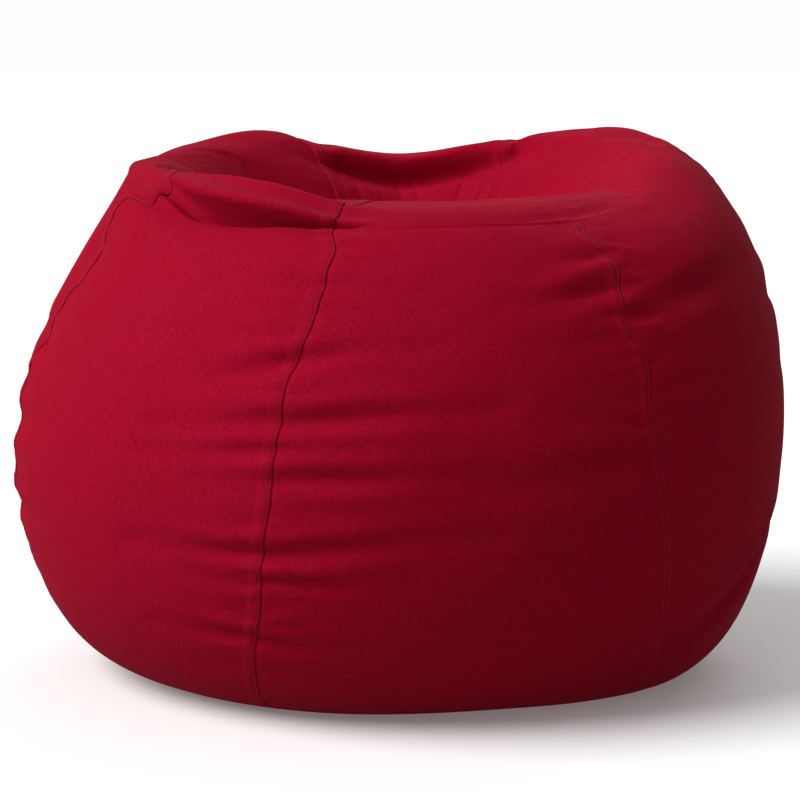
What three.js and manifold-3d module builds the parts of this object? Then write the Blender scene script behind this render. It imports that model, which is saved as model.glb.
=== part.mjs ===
// A round bean bag chair. Six tall panels, a crown patch and a two-part base make the cover,
// which opens with a zip across the base. Inside it a liner with its own zip holds the foam beads.
//
// Millimetres, +Z up. The origin is the centre of the base, on the floor, and the front faces -Y.
// Angles are in degrees round the Z axis: 0 is the front, and 90 is the +X side.

import * as THREE from "three";
import { mergeVertices } from "three/addons/utils/BufferGeometryUtils.js";
import Module from "manifold-3d";

const manifold = await Module();
manifold.setup();

// Driving dimensions

const bagWidth = 762; // across the belly, the widest ring
const baseWidth = 476; // across the flat disc that touches the floor
const bellyHeight = 228; // from the floor to the belly
const bellyLean = 22; // how much higher the belly sits on the +X side than at the front
const rimWidth = 532; // across the top of the rim, before the points below
const rimHeight = 450; // from the floor to the top of the rim at the front
const hollowDepth = 46; // from the front rim down to the floor of the seat hollow
const hollowOffset = 40; // from the middle of the bag back to the middle of the seat hollow
const hollowWidth = 260; // across the flat floor of the seat hollow
const crownWidth = 140; // across the crown patch
const shoulderFlatness = 1.35; // 1 makes the shoulder a quarter ellipse, more makes it lean inwards

// The seam on the left of each side panel. It leans as it climbs, so it has three angles:
// at the edge of the base, at the belly and at the rim.
const panels = [
  { name: "front", base: -28, belly: -17, rim: -13 },
  { name: "front_right", base: 52, belly: 38, rim: 41 },
  { name: "back_right", base: 112, belly: 99, rim: 98 },
  { name: "back", base: 167, belly: 160, rim: 150 },
  { name: "back_left", base: 220, belly: 219, rim: 206 },
  { name: "front_left", base: 270, belly: 281, rim: 286 },
];

const clothThickness = 1.2; // cover fabric
const linerThickness = 0.6;
const sewnGap = 0.3; // clearance between pieces that are sewn or lie together
const linerEase = 1.5; // clearance between the cover and the liner
const fillEase = 2; // clearance between the liner and the beads

// The slumped bag isn't the same all round. The rim passes through these points, each moved out
// and up from its plain round shape.
const rimPoints = [
  { angle: -160, out: -12, up: 55 },
  { angle: -147, out: -4, up: 67 },
  { angle: -125, out: 4, up: 61 },
  { angle: -105, out: 9, up: 54 },
  { angle: -90, out: 10, up: 49 },
  { angle: -75, out: 9, up: 34 },
  { angle: -60, out: 5, up: 13 },
  { angle: -45, out: 1, up: 2 },
  { angle: -20, out: 0, up: 0 },
  { angle: 15, out: 2, up: 1 },
  { angle: 45, out: -2, up: 4 },
  { angle: 65, out: -4, up: 20 },
  { angle: 85, out: -4, up: 50 },
  { angle: 105, out: 0, up: 67 },
  { angle: 122, out: 4, up: 75 },
  { angle: 142, out: -4, up: 67 },
  { angle: 160, out: -12, up: 53 },
  { angle: 180, out: -16, up: 42 },
];

// The shoulder leans in more or less than the rest near these angles, dying away on both sides.
const shoulderBumps = [
  { at: -85, spread: 50, rise: 0.4 },
  { at: 80, spread: 55, rise: -0.35 },
];

// The zip across the base lies in a shallow tray, so that its slider clears the floor.
const trayEndMargin = 12; // from the edge of the base to the end of the tray
const trayHeight = 8; // from the floor to the underside of the tray
const trayFlat = 44; // width of the tray's flat top
const trayRamp = 14; // run of the tray's sloping sides
const zipSlot = 16; // width of the slot that the slider runs in
const guardWidth = 52;
const guardThickness = 0.6;

const coverZip = {
  name: "cover_zip",
  toothWidth: 2.6, // width of one row of teeth
  toothThickness: 2.4,
  toothPitch: 12, // a few teeth stand for the fine ones
  rowGap: 1.4, // between the two rows, for the slider's neck
  tapeWidth: 14,
  tapeThickness: 0.6,
  tapeTail: 12, // tape that runs on past the stops
  stopLength: 4,
  sliderLength: 16,
  sliderWidth: 11.2,
  plateThickness: 1.1,
  neckThickness: 0.8,
  neckLength: 4,
  clearance: 0.3, // between the slider and what runs through it
  archHeight: 2, // opening of the arch that holds the pull tab
  archHalf: 3.5, // half the length of that opening
  archBar: 1.2,
  archPost: 1.6,
  pullLength: 32,
  pullWidth: 7,
  pullThickness: 1,
  pullCorner: 2.1,
  eyeStrip: 0.8, // half the bar of the pull that passes through the arch
};
const linerZip = {
  ...coverZip,
  name: "liner_zip",
  toothWidth: 2,
  toothThickness: 1.8,
  tapeWidth: 11,
  sliderLength: 12,
  sliderWidth: 9,
  plateThickness: 0.9,
  neckLength: 3,
  archHeight: 1.9,
  archHalf: 2.6,
  archBar: 1,
  archPost: 1.3,
  pullLength: 20,
  pullWidth: 6,
  pullThickness: 0.9,
  pullCorner: 1.8,
};
const linerZipLength = 300;
const linerZipOffset = 110; // from the cover's zip to the liner's, towards the back

const weld = 0.1; // how far two blocks of one piece run into each other
const cutMargin = 1; // how far a cutting block reaches past what it cuts

const labelWidth = 50;
const labelDepth = 30;
const labelThickness = 0.3;
const labelInset = 40; // from the edge of the base

// How finely the round shapes are cut up

const cellsPerPanel = 6;
const columnCount = cellsPerPanel * panels.length;
const lowerRows = 6;
const shoulderRows = 8;
const slopeRows = 6;

// Sizes that follow

const baseRadius = baseWidth / 2;
const bellyRadius = bagWidth / 2;
const hollowRadius = hollowWidth / 2;
const crownRadius = crownWidth / 2;
const hollowHeight = rimHeight - hollowDepth;
const trayHalf = baseRadius - trayEndMargin;
const pullRoom = coverZip.pullLength - coverZip.sliderLength / 2; // for the pull when it is turned over
const coverZipLength = 2 * (trayHalf - trayRamp - pullRoom);
const coverZipHeight = trayHeight + clothThickness + sewnGap + coverZip.tapeThickness / 2;
const sliderReach = (zip) => zip.toothThickness / 2 + zip.clearance + zip.plateThickness;
const guardHeight = coverZipHeight + sliderReach(coverZip) + sewnGap;
const linerFloor = guardHeight + guardThickness + linerEase;
const linerZipHeight = linerFloor - sewnGap - linerZip.tapeThickness / 2;
const linerSlot = linerZip.sliderWidth + 2 * linerEase;
const fillFloor = Math.max(linerFloor + linerThickness, linerZipHeight + sliderReach(linerZip)) + fillEase;
const linerInset = clothThickness + linerEase;
const fillInset = linerInset + linerThickness + fillEase;

// Materials

function finish(color, roughness, metalness = 0) {
  return new THREE.MeshStandardMaterial({ color, roughness, metalness });
}

const twill = finish("#96001f", 0.85);
const zipTape = finish("#7d0019", 0.9);
const moulded = finish("#7a0a1c", 0.45);
const castMetal = finish("#a9abae", 0.35, 1);
const linerCloth = finish("#e9e6df", 0.9);
const beads = finish("#f6f5f1", 0.7);
const labelTape = finish("#f2f0ea", 0.8);

// Small helpers

const object = new THREE.Group();

function addPiece(name, geometry, material, parent = object) {
  const piece = new THREE.Mesh(geometry, material);
  piece.name = name;
  parent.add(piece);
}

function toSolid(geometry) {
  const bare = geometry.clone();
  bare.deleteAttribute("normal");
  bare.deleteAttribute("uv");
  const merged = mergeVertices(bare, 1e-4);
  const mesh = new manifold.Mesh({
    numProp: 3,
    vertProperties: new Float32Array(merged.attributes.position.array),
    triVerts: new Uint32Array(merged.index.array),
  });
  return new manifold.Manifold(mesh);
}

function toGeometry(solid) {
  const mesh = solid.getMesh();
  const geometry = new THREE.BufferGeometry();
  geometry.setAttribute("position", new THREE.BufferAttribute(mesh.vertProperties, 3));
  geometry.setIndex(new THREE.BufferAttribute(mesh.triVerts, 1));
  return geometry;
}

function box(lowX, highX, lowY, highY, lowZ, highZ) {
  const geometry = new THREE.BoxGeometry(highX - lowX, highY - lowY, highZ - lowZ);
  geometry.translate((lowX + highX) / 2, (lowY + highY) / 2, (lowZ + highZ) / 2);
  return geometry;
}

function plate(outline, lowZ, thickness) {
  const geometry = new THREE.ExtrudeGeometry(outline, { depth: thickness, bevelEnabled: false });
  geometry.translate(0, 0, lowZ);
  return geometry;
}

// A round outline with its corners where the columns of the side panels meet it, at "base" or "rim".
function roundOutline(radius, level) {
  const corners = [];
  for (let column = 0; column < columnCount; column += 1) {
    const corner = placeOnRing(seamAngle(column, level), radius, 0);
    corners.push(new THREE.Vector2(corner.x, corner.y));
  }
  return new THREE.Shape(corners);
}

// The bag's surface

function placeOnRing(angle, radius, height) {
  const turn = THREE.MathUtils.degToRad(angle);
  return new THREE.Vector3(radius * Math.sin(turn), -radius * Math.cos(turn), height);
}

// Angle of a column at one level. Columns share out the space between the seams evenly.
function seamAngle(column, level) {
  const panel = Math.floor(column / cellsPerPanel);
  const share = column / cellsPerPanel - panel;
  const from = panels[panel % panels.length][level] + (panel >= panels.length ? 360 : 0);
  const to = panels[(panel + 1) % panels.length][level] + (panel + 1 >= panels.length ? 360 : 0);
  return THREE.MathUtils.lerp(from, to, share);
}

function addBumps(value, bumps, angle) {
  return bumps.reduce((sum, bump) => {
    const away = THREE.MathUtils.euclideanModulo(angle - bump.at + 180, 360) - 180;
    return sum + bump.rise * Math.exp(-((away / bump.spread) ** 2));
  }, value);
}

// The outer surface along one column, from the edge of the base up to the belly, over the shoulder
// to the rim, and down into the hollow as far as the crown patch. Each point has its own angle.
function outerProfile(column) {
  const points = [];
  const addPoint = (angle, radius, height, back = 0) => {
    points.push({ angle, back, place: new THREE.Vector2(radius, height) });
  };
  for (let row = 0; row < lowerRows; row += 1) {
    const share = row / lowerRows;
    const turn = (Math.PI / 2) * share;
    const angle = THREE.MathUtils.lerp(seamAngle(column, "base"), seamAngle(column, "belly"), share);
    const radius = baseRadius + (bellyRadius - baseRadius) * Math.sin(turn);
    addPoint(angle, radius, bellyAt(angle) * (1 - Math.cos(turn)));
  }
  for (let row = 0; row < shoulderRows; row += 1) {
    const share = row / shoulderRows;
    const turn = (Math.PI / 2) * share;
    const angle = THREE.MathUtils.lerp(seamAngle(column, "belly"), seamAngle(column, "rim"), share);
    const rim = rimAt(angle);
    const flatness = addBumps(shoulderFlatness, shoulderBumps, angle);
    const radius = rim.x + (bellyRadius - rim.x) * Math.cos(turn) ** flatness;
    addPoint(angle, radius, bellyAt(angle) + (rim.y - bellyAt(angle)) * Math.sin(turn));
  }
  const angle = seamAngle(column, "rim");
  const rim = rimAt(angle);
  for (let row = 0; row <= slopeRows; row += 1) {
    const share = row / slopeRows;
    const rise = (1 + Math.cos(Math.PI * share)) / 2;
    const radius = rim.x + (hollowRadius - rim.x) * share;
    addPoint(angle, radius, hollowHeight + (rim.y - hollowHeight) * rise, hollowOffset * share);
  }
  addPoint(angle, crownRadius, hollowHeight, hollowOffset);
  return points;
}

const rimCurve = new THREE.CubicInterpolant(
  [-360, 0, 360].flatMap((turn) => rimPoints.map((point) => point.angle + turn)),
  [-360, 0, 360].flatMap(() => rimPoints.flatMap((point) => [point.out, point.up])),
  2,
);

function bellyAt(angle) {
  return bellyHeight + bellyLean * Math.sin(THREE.MathUtils.degToRad(angle));
}

function rimAt(angle) {
  const [out, up] = rimCurve.evaluate(angle);
  return new THREE.Vector2(rimWidth / 2 + out, rimHeight + up);
}

// One column of points of a layer of the bag, moved into it by the inset and kept above a floor.
// Both its ends are level, so they move straight up or down. Aside moves it away from a seam.
function layerColumn(column, inset, floor = 0, aside = 0) {
  const points = outerProfile(column);
  const last = points.length - 1;
  return points.map(({ angle, place, back }, row) => {
    const before = points[Math.max(row - 1, 0)].place;
    const after = points[Math.min(row + 1, last)].place;
    const inward = new THREE.Vector2(before.y - after.y, after.x - before.x).normalize();
    if (row === 0) {
      inward.set(0, 1);
    }
    if (row === last) {
      inward.set(0, -1);
    }
    const moved = place.clone().addScaledVector(inward, inset);
    const moveAside = placeOnRing(angle + 90, aside, 0).add(new THREE.Vector3(0, back, 0));
    return placeOnRing(angle, moved.x, Math.max(moved.y, floor)).add(moveAside);
  });
}

// A closed sheet between an outer and an inner grid of points, both held as columns of rows.
// A sheet that goes all the way round has no side edges.
function sheetGeometry(outer, inner, allRound) {
  const columns = outer.length;
  const rows = outer[0].length;
  const positions = [];
  const triangles = [];
  for (const grid of [outer, inner]) {
    grid.flat().forEach((point) => positions.push(point.x, point.y, point.z));
  }
  const outside = (column, row) => (column % columns) * rows + row;
  const inside = (column, row) => columns * rows + outside(column, row);
  const face = (a, b, c, d) => triangles.push(a, b, c, a, c, d);
  const cells = allRound ? columns : columns - 1;
  for (let column = 0; column < cells; column += 1) {
    for (let row = 0; row < rows - 1; row += 1) {
      const next = column + 1;
      face(outside(column, row), outside(next, row), outside(next, row + 1), outside(column, row + 1));
      face(inside(column, row), inside(column, row + 1), inside(next, row + 1), inside(next, row));
    }
    face(outside(column, 0), inside(column, 0), inside(column + 1, 0), outside(column + 1, 0));
    const top = rows - 1;
    face(outside(column, top), outside(column + 1, top), inside(column + 1, top), inside(column, top));
  }
  if (!allRound) {
    const side = columns - 1;
    for (let row = 0; row < rows - 1; row += 1) {
      face(outside(0, row), outside(0, row + 1), inside(0, row + 1), inside(0, row));
      face(outside(side, row), inside(side, row), inside(side, row + 1), outside(side, row + 1));
    }
  }
  return indexedGeometry(positions, triangles);
}

function indexedGeometry(positions, triangles) {
  const geometry = new THREE.BufferGeometry();
  geometry.setAttribute("position", new THREE.Float32BufferAttribute(positions, 3));
  geometry.setIndex(triangles);
  return geometry;
}

// A solid heap inside the bag, closed by a middle point below and above.
function heapGeometry(inset, floor) {
  const positions = [];
  const triangles = [];
  let rows = 0;
  let topHeight = 0;
  for (let column = 0; column < columnCount; column += 1) {
    const points = layerColumn(column, inset, floor);
    rows = points.length;
    topHeight = points[rows - 1].z;
    points.forEach((point) => positions.push(point.x, point.y, point.z));
  }
  const bottom = columnCount * rows;
  const top = bottom + 1;
  positions.push(0, 0, floor, 0, hollowOffset, topHeight);
  const at = (column, row) => (column % columnCount) * rows + row;
  for (let column = 0; column < columnCount; column += 1) {
    for (let row = 0; row < rows - 1; row += 1) {
      triangles.push(at(column, row), at(column + 1, row), at(column + 1, row + 1));
      triangles.push(at(column, row), at(column + 1, row + 1), at(column, row + 1));
    }
    triangles.push(bottom, at(column + 1, 0), at(column, 0));
    triangles.push(top, at(column, rows - 1), at(column + 1, rows - 1));
  }
  return indexedGeometry(positions, triangles);
}

// Cover

function sidePanel(index) {
  const outer = [];
  const inner = [];
  for (let cell = 0; cell <= cellsPerPanel; cell += 1) {
    const column = index * cellsPerPanel + cell;
    const aside = ((cell === 0) - (cell === cellsPerPanel)) * (sewnGap / 2);
    outer.push(layerColumn(column, 0, 0, aside));
    inner.push(layerColumn(column, clothThickness, 0, aside));
  }
  return sheetGeometry(outer, inner, false);
}

function addCover() {
  panels.forEach((panel, index) => addPiece(`${panel.name}_panel`, sidePanel(index), twill));
  const outline = roundOutline(crownRadius - sewnGap, "rim");
  const crown = plate(outline, hollowHeight - clothThickness, clothThickness);
  crown.translate(0, hollowOffset, 0);
  addPiece("crown_patch", crown, twill);
}

// A block with sloping sides, given by half its length and half its width at the bottom.
function taperedBlock(halfLength, halfWidth, lowZ, highZ, ramp) {
  const topLength = halfLength - ramp;
  const topWidth = halfWidth - ramp;
  const positions = [];
  for (const [x, y, z] of [[halfLength, halfWidth, lowZ], [topLength, topWidth, highZ]]) {
    positions.push(-x, -y, z, x, -y, z, x, y, z, -x, y, z);
  }
  const triangles = [0, 2, 1, 0, 3, 2, 4, 5, 6, 4, 6, 7];
  for (let side = 0; side < 4; side += 1) {
    const next = (side + 1) % 4;
    triangles.push(side, next, next + 4, side, next + 4, side + 4);
  }
  return indexedGeometry(positions, triangles);
}

// The base is a flat disc with a tray pressed up along its middle, cut in two along the zip.
function addBase() {
  const slotHalf = coverZipLength / 2 + coverZip.tapeTail;
  const trayWidth = trayFlat / 2 + trayRamp;
  const slope = trayHeight / trayRamp;
  const wall = clothThickness * Math.hypot(1, 1 / slope);
  const top = trayHeight + clothThickness;
  const disc = toSolid(plate(roundOutline(baseRadius - sewnGap, "base"), 0, clothThickness));
  const outside = toSolid(taperedBlock(trayHalf + wall, trayWidth + wall, 0, top, top / slope));
  const spread = cutMargin / slope;
  const hollow = taperedBlock(
    trayHalf + spread, trayWidth + spread, -cutMargin, trayHeight, trayRamp + spread,
  );
  const inside = toSolid(hollow);
  const slot = toSolid(box(-slotHalf, slotHalf, -zipSlot / 2, zipSlot / 2, -cutMargin, top + cutMargin));
  const whole = disc.add(outside).subtract(inside).subtract(slot);
  const far = baseRadius + cutMargin;
  const frontHalf = toSolid(box(-far, far, -far, -sewnGap / 2, -cutMargin, top + cutMargin));
  const backHalf = toSolid(box(-far, far, sewnGap / 2, far, -cutMargin, top + cutMargin));
  addPiece("base_panel_front", toGeometry(whole.intersect(frontHalf)), twill);
  addPiece("base_panel_back", toGeometry(whole.intersect(backHalf)), twill);
  const guardHalf = trayHalf - trayRamp;
  const guardBox = box(
    -guardHalf, guardHalf, -guardWidth / 2, guardWidth / 2, guardHeight, guardHeight + guardThickness,
  );
  addPiece("zip_guard", guardBox, twill);
  const labelBack = -baseRadius + labelInset + labelDepth;
  const labelLow = clothThickness + sewnGap;
  const label = box(
    -labelWidth / 2, labelWidth / 2, labelBack - labelDepth, labelBack, labelLow, labelLow + labelThickness,
  );
  addPiece("care_label", label, labelTape);
}

// Zips. Each is drawn round its own middle, along X, with its outside facing down.

function toothRow(zip, length) {
  const bead = zip.toothWidth / 2;
  const outline = new THREE.Shape();
  const start = -length / 2;
  const count = Math.floor(length / zip.toothPitch);
  const pitch = length / count;
  outline.moveTo(start, zip.toothWidth);
  for (let tooth = 0; tooth < count; tooth += 1) {
    const at = start + tooth * pitch;
    outline.lineTo(at, bead);
    outline.lineTo(at + pitch / 4, bead);
    outline.lineTo(at + pitch / 4, 0);
    outline.lineTo(at + (pitch * 3) / 4, 0);
    outline.lineTo(at + (pitch * 3) / 4, bead);
  }
  outline.lineTo(-start, bead);
  outline.lineTo(-start, zip.toothWidth);
  outline.closePath();
  return plate(outline, -zip.toothThickness / 2, zip.toothThickness);
}

// Two plates joined by a neck at the leading end, with lips at the sides and an arch below.
function sliderGeometry(zip) {
  const long = zip.sliderLength / 2;
  const wide = zip.sliderWidth / 2;
  const inner = zip.toothThickness / 2 + zip.clearance;
  const reach = sliderReach(zip);
  const lipEnd = zip.tapeThickness / 2 + zip.clearance;
  const neck = zip.neckThickness / 2;
  const lip = zip.plateThickness;
  const archLow = reach + zip.archHeight;
  const archEnd = zip.archHalf + zip.archPost;
  const blocks = [
    box(-long, long, -wide, wide, inner, reach),
    box(-long, long, -wide, wide, -reach, -inner),
    box(long - zip.neckLength, long, -neck, neck, -inner - weld, inner + weld),
    box(-archEnd, archEnd, -zip.archBar, zip.archBar, -archLow - zip.archBar, -archLow),
  ];
  for (const side of [-1, 1]) {
    const lowY = side < 0 ? -wide : wide - lip;
    blocks.push(box(-long, long, lowY, lowY + lip, lipEnd, inner + weld));
    blocks.push(box(-long, long, lowY, lowY + lip, -inner - weld, -lipEnd));
    const lowX = side < 0 ? -archEnd : zip.archHalf;
    blocks.push(box(lowX, lowX + zip.archPost, -zip.archBar, zip.archBar, -archLow - weld, -reach + weld));
  }
  const whole = blocks.map(toSolid).reduce((sum, block) => sum.add(block));
  return toGeometry(whole);
}

// A flat tab whose eye goes round the arch. It lies back along the closed teeth, towards -X.
function pullGeometry(zip) {
  const strip = zip.eyeStrip;
  const eyeEnd = zip.archHalf + zip.archPost + zip.archHeight + zip.archBar;
  const eyeHalf = zip.archBar + zip.clearance * 2;
  const wide = zip.pullWidth / 2;
  const corner = zip.pullCorner;
  const tab = new THREE.Shape();
  tab.moveTo(-strip, -wide);
  tab.lineTo(zip.pullLength - corner, -wide);
  tab.absarc(zip.pullLength - corner, -wide + corner, corner, -Math.PI / 2, 0);
  tab.absarc(zip.pullLength - corner, wide - corner, corner, 0, Math.PI / 2);
  tab.lineTo(-strip, wide);
  tab.closePath();
  const eye = new THREE.Path();
  eye.moveTo(strip, -eyeHalf);
  eye.lineTo(strip, eyeHalf);
  eye.lineTo(eyeEnd, eyeHalf);
  eye.lineTo(eyeEnd, -eyeHalf);
  eye.closePath();
  tab.holes.push(eye);
  const options = { depth: zip.pullThickness, bevelEnabled: false, curveSegments: 4 };
  const geometry = new THREE.ExtrudeGeometry(tab, options);
  geometry.translate(0, 0, -zip.pullThickness / 2);
  geometry.rotateZ(Math.PI);
  return geometry;
}

function addZip(zip, length, tapeMaterial, place) {
  const group = new THREE.Group();
  group.position.copy(place);
  object.add(group);
  const stop = zip.stopLength;
  const rowLength = length - 2 * stop - 2 * zip.clearance;
  const rowStart = zip.rowGap / 2;
  const rowEnd = rowStart + zip.toothWidth;
  const tapeHalf = length / 2 + zip.tapeTail;
  const tapeStart = rowEnd + zip.clearance;
  const tapeZ = zip.tapeThickness / 2;
  const toothZ = zip.toothThickness / 2;
  const row = toothRow(zip, rowLength);
  row.translate(0, rowStart, 0);
  const tape = box(-tapeHalf, tapeHalf, tapeStart, tapeStart + zip.tapeWidth, -tapeZ, tapeZ);
  const closedStop = box(length / 2 - stop, length / 2, rowStart, rowEnd, -toothZ, toothZ);
  for (const side of ["front", "back"]) {
    const turned = (geometry) => (side === "back" ? geometry : mirroredInY(geometry));
    addPiece(`${zip.name}_tape_${side}`, turned(tape), tapeMaterial, group);
    addPiece(`${zip.name}_teeth_${side}`, turned(row), moulded, group);
    addPiece(`${zip.name}_closed_stop_${side}`, turned(closedStop), moulded, group);
  }
  const openStop = box(-length / 2, -length / 2 + stop, -rowEnd, rowEnd, -toothZ, toothZ);
  addPiece(`${zip.name}_open_stop`, openStop, moulded, group);
  const sliderPlace = new THREE.Group();
  sliderPlace.position.x = length / 2 - stop - zip.clearance - zip.sliderLength / 2;
  group.add(sliderPlace);
  addPiece(`${zip.name}_slider`, sliderGeometry(zip), castMetal, sliderPlace);
  const pullPlace = new THREE.Group();
  pullPlace.position.z = -sliderReach(zip) - zip.archHeight / 2;
  sliderPlace.add(pullPlace);
  addPiece(`${zip.name}_pull`, pullGeometry(zip), castMetal, pullPlace);
}

// The mirror image across the zip, with its triangles turned so that they still face out.
function mirroredInY(geometry) {
  const loose = geometry.index ? geometry.toNonIndexed() : geometry;
  const points = loose.attributes.position;
  const positions = [];
  for (let corner = 0; corner < points.count; corner += 3) {
    for (const step of [0, 2, 1]) {
      const at = corner + step;
      positions.push(points.getX(at), -points.getY(at), points.getZ(at));
    }
  }
  const mirrored = new THREE.BufferGeometry();
  mirrored.setAttribute("position", new THREE.Float32BufferAttribute(positions, 3));
  return mirrored;
}

// Liner and fill

function addLiner() {
  const outer = [];
  const inner = [];
  for (let column = 0; column < columnCount; column += 1) {
    outer.push(layerColumn(column, linerInset, linerFloor));
    inner.push(layerColumn(column, linerInset + linerThickness, linerFloor + linerThickness));
  }
  addPiece("liner_bag", sheetGeometry(outer, inner, true), linerCloth);
  const crownHeight = hollowHeight - linerInset;
  const outline = roundOutline(crownRadius - sewnGap, "rim");
  const crown = plate(outline, crownHeight - linerThickness, linerThickness);
  crown.translate(0, hollowOffset, 0);
  addPiece("liner_crown", crown, linerCloth);
  const disc = toSolid(plate(roundOutline(baseRadius - sewnGap, "base"), linerFloor, linerThickness));
  const slotLength = linerZipLength / 2;
  const slot = box(
    -slotLength, slotLength, linerZipOffset - linerSlot / 2, linerZipOffset + linerSlot / 2,
    linerFloor - cutMargin, linerFloor + linerThickness + cutMargin,
  );
  addPiece("liner_base", toGeometry(disc.subtract(toSolid(slot))), linerCloth);
}

addCover();
addBase();
addZip(coverZip, coverZipLength, zipTape, new THREE.Vector3(0, 0, coverZipHeight));
addLiner();
addZip(linerZip, linerZipLength, linerCloth, new THREE.Vector3(0, linerZipOffset, linerZipHeight));
addPiece("bead_fill", heapGeometry(fillInset, fillFloor), beads);

export default object;
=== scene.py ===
# round bean bag chair in red cotton twill: six sewn side panels, crown patch, zipped base, liner, beads
import math
import bmesh
import bpy
import numpy as np
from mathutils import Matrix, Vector


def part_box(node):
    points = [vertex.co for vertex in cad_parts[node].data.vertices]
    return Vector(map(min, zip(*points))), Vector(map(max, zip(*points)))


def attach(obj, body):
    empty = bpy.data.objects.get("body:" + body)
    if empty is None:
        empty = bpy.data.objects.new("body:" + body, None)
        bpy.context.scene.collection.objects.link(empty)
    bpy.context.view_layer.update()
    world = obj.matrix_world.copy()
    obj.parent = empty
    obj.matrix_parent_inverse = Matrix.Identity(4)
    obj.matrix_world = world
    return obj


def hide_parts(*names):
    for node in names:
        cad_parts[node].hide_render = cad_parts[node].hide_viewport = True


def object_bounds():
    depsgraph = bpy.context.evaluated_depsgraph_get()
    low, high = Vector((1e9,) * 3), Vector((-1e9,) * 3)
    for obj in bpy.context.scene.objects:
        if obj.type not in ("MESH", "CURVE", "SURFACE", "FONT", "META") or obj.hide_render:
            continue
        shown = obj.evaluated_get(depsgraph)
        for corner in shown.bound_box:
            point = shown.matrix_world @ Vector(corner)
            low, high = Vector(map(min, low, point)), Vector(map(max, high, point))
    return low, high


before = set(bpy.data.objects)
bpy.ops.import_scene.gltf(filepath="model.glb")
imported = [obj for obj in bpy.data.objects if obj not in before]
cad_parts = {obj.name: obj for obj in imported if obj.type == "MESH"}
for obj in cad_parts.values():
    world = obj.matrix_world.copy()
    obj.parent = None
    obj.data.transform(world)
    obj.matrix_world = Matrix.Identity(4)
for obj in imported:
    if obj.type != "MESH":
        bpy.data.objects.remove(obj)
cadBox = [list(corner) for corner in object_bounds()]
mm = 0.001
print("frame loaded,", len(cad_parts), "nodes")


# ---------- camera, floor, light

standardView = {
    "distance": 2.7,  # from the middle of the bag
    "elevation": 8.0,  # degrees above level
    "lookHeight": 0.259,
    "frameWidth": 0.8,  # what the picture spans at that distance
    "sensorWidth": 36,  # mm
}


def addObject(name, data):
    obj = bpy.data.objects.new(name, data)
    bpy.context.scene.collection.objects.link(obj)
    return obj


def aimAt(obj, target):
    obj.rotation_euler = (Vector(target) - obj.location).to_track_quat("-Z", "Y").to_euler()


def addCamera(view):
    lens = bpy.data.cameras.new("camera")
    lens.sensor_width = view["sensorWidth"]
    lens.lens = view["sensorWidth"] * view["distance"] / view["frameWidth"]
    camera = addObject("camera", lens)
    tilt = math.radians(view["elevation"])
    camera.location = (0, -view["distance"] * math.cos(tilt),
                       view["lookHeight"] + view["distance"] * math.sin(tilt))
    aimAt(camera, (0, 0, view["lookHeight"]))
    bpy.context.scene.camera = camera


studio = {
    "lampDistance": 3,
    "spread": 46,  # degrees across, a wide soft source
    "keyFrom": (-72, 40),  # degrees round from the front, degrees up: upper left of the viewer
    "keyStrength": 3.5,
    "topFrom": (-20, 80),
    "topStrength": 0.12,
    "backFrom": (162, 34),  # weak light behind, so that the back is seen as well
    "backStrength": 0.6,
    "roomStrength": 0.24,
    "roomColour": "#fdfdfd",
    "roomLight": "#f6f7f8",
    "floorColour": "#fafafa",
    "floorGlow": 0.14,  # keeps the far floor as pale as the room behind it
    "floorBounce": "#8c8c8c",  # what the object gets back from it
    "floorHalf": 30,
    "floorBelow": 0.0005,  # just under the bag
}


def addSoftLight(name, placed, spread, strength):
    light = bpy.data.lights.new(name, "SUN")
    light.angle = math.radians(spread)
    light.energy = strength
    lamp = addObject(name, light)
    turn, up = (math.radians(a) for a in placed)
    level = studio["lampDistance"] * math.cos(up)
    lamp.location = (level * math.sin(turn), -level * math.cos(turn), studio["lampDistance"] * math.sin(up))
    aimAt(lamp, (0, 0, 0))


# ---------- materials

def linear(code):
    parts = [int(code[i:i + 2], 16) / 255 for i in (1, 3, 5)]
    return [c / 12.92 if c <= 0.04045 else ((c + 0.055) / 1.055) ** 2.4 for c in parts] + [1.0]


def newMaterial(name, values):
    # values: the shader's own inputs
    material = bpy.data.materials.new(name)
    material.use_nodes = True
    tree = material.node_tree
    tree.nodes.clear()
    output = tree.nodes.new("ShaderNodeOutputMaterial")
    shader = tree.nodes.new("ShaderNodeBsdfPrincipled")
    tree.links.new(shader.outputs[0], output.inputs["Surface"])
    for key, value in values.items():
        shader.inputs[key].default_value = value
    return material, tree, shader


def addNode(tree, kind, settings=None, links=None):
    # settings: node properties, or input values by name or number; links: input name or number to a socket
    node = tree.nodes.new(kind)
    for key, value in (settings or {}).items():
        if isinstance(key, str) and hasattr(node, key):
            setattr(node, key, value)
        else:
            node.inputs[key].default_value = value
    for key, socket in (links or {}).items():
        tree.links.new(socket, node.inputs[key])
    return node


twillCloth = {
    "colour": "#93021f",
    "warpColour": "#a60629",
    "shadeColour": "#820119",
    "ribPitch": 1.7,  # mm, real 0.6, drawn coarser so that it shows
    "ribHeight": 0.12,
    "slubSize": 9,  # mm, length of a thicker stretch of yarn
    "heather": 2.6,  # mm, light and dark flecks of the yarn
    "ribSlope": 63,  # degrees
    "fuzzScale": 700.0,  # per metre
    "wearScale": 9.0,
    "sheenColour": "#d8405a",
}
waveUnit = math.pi / 10  # a wave texture of scale 1 repeats every pi / 10


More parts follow.
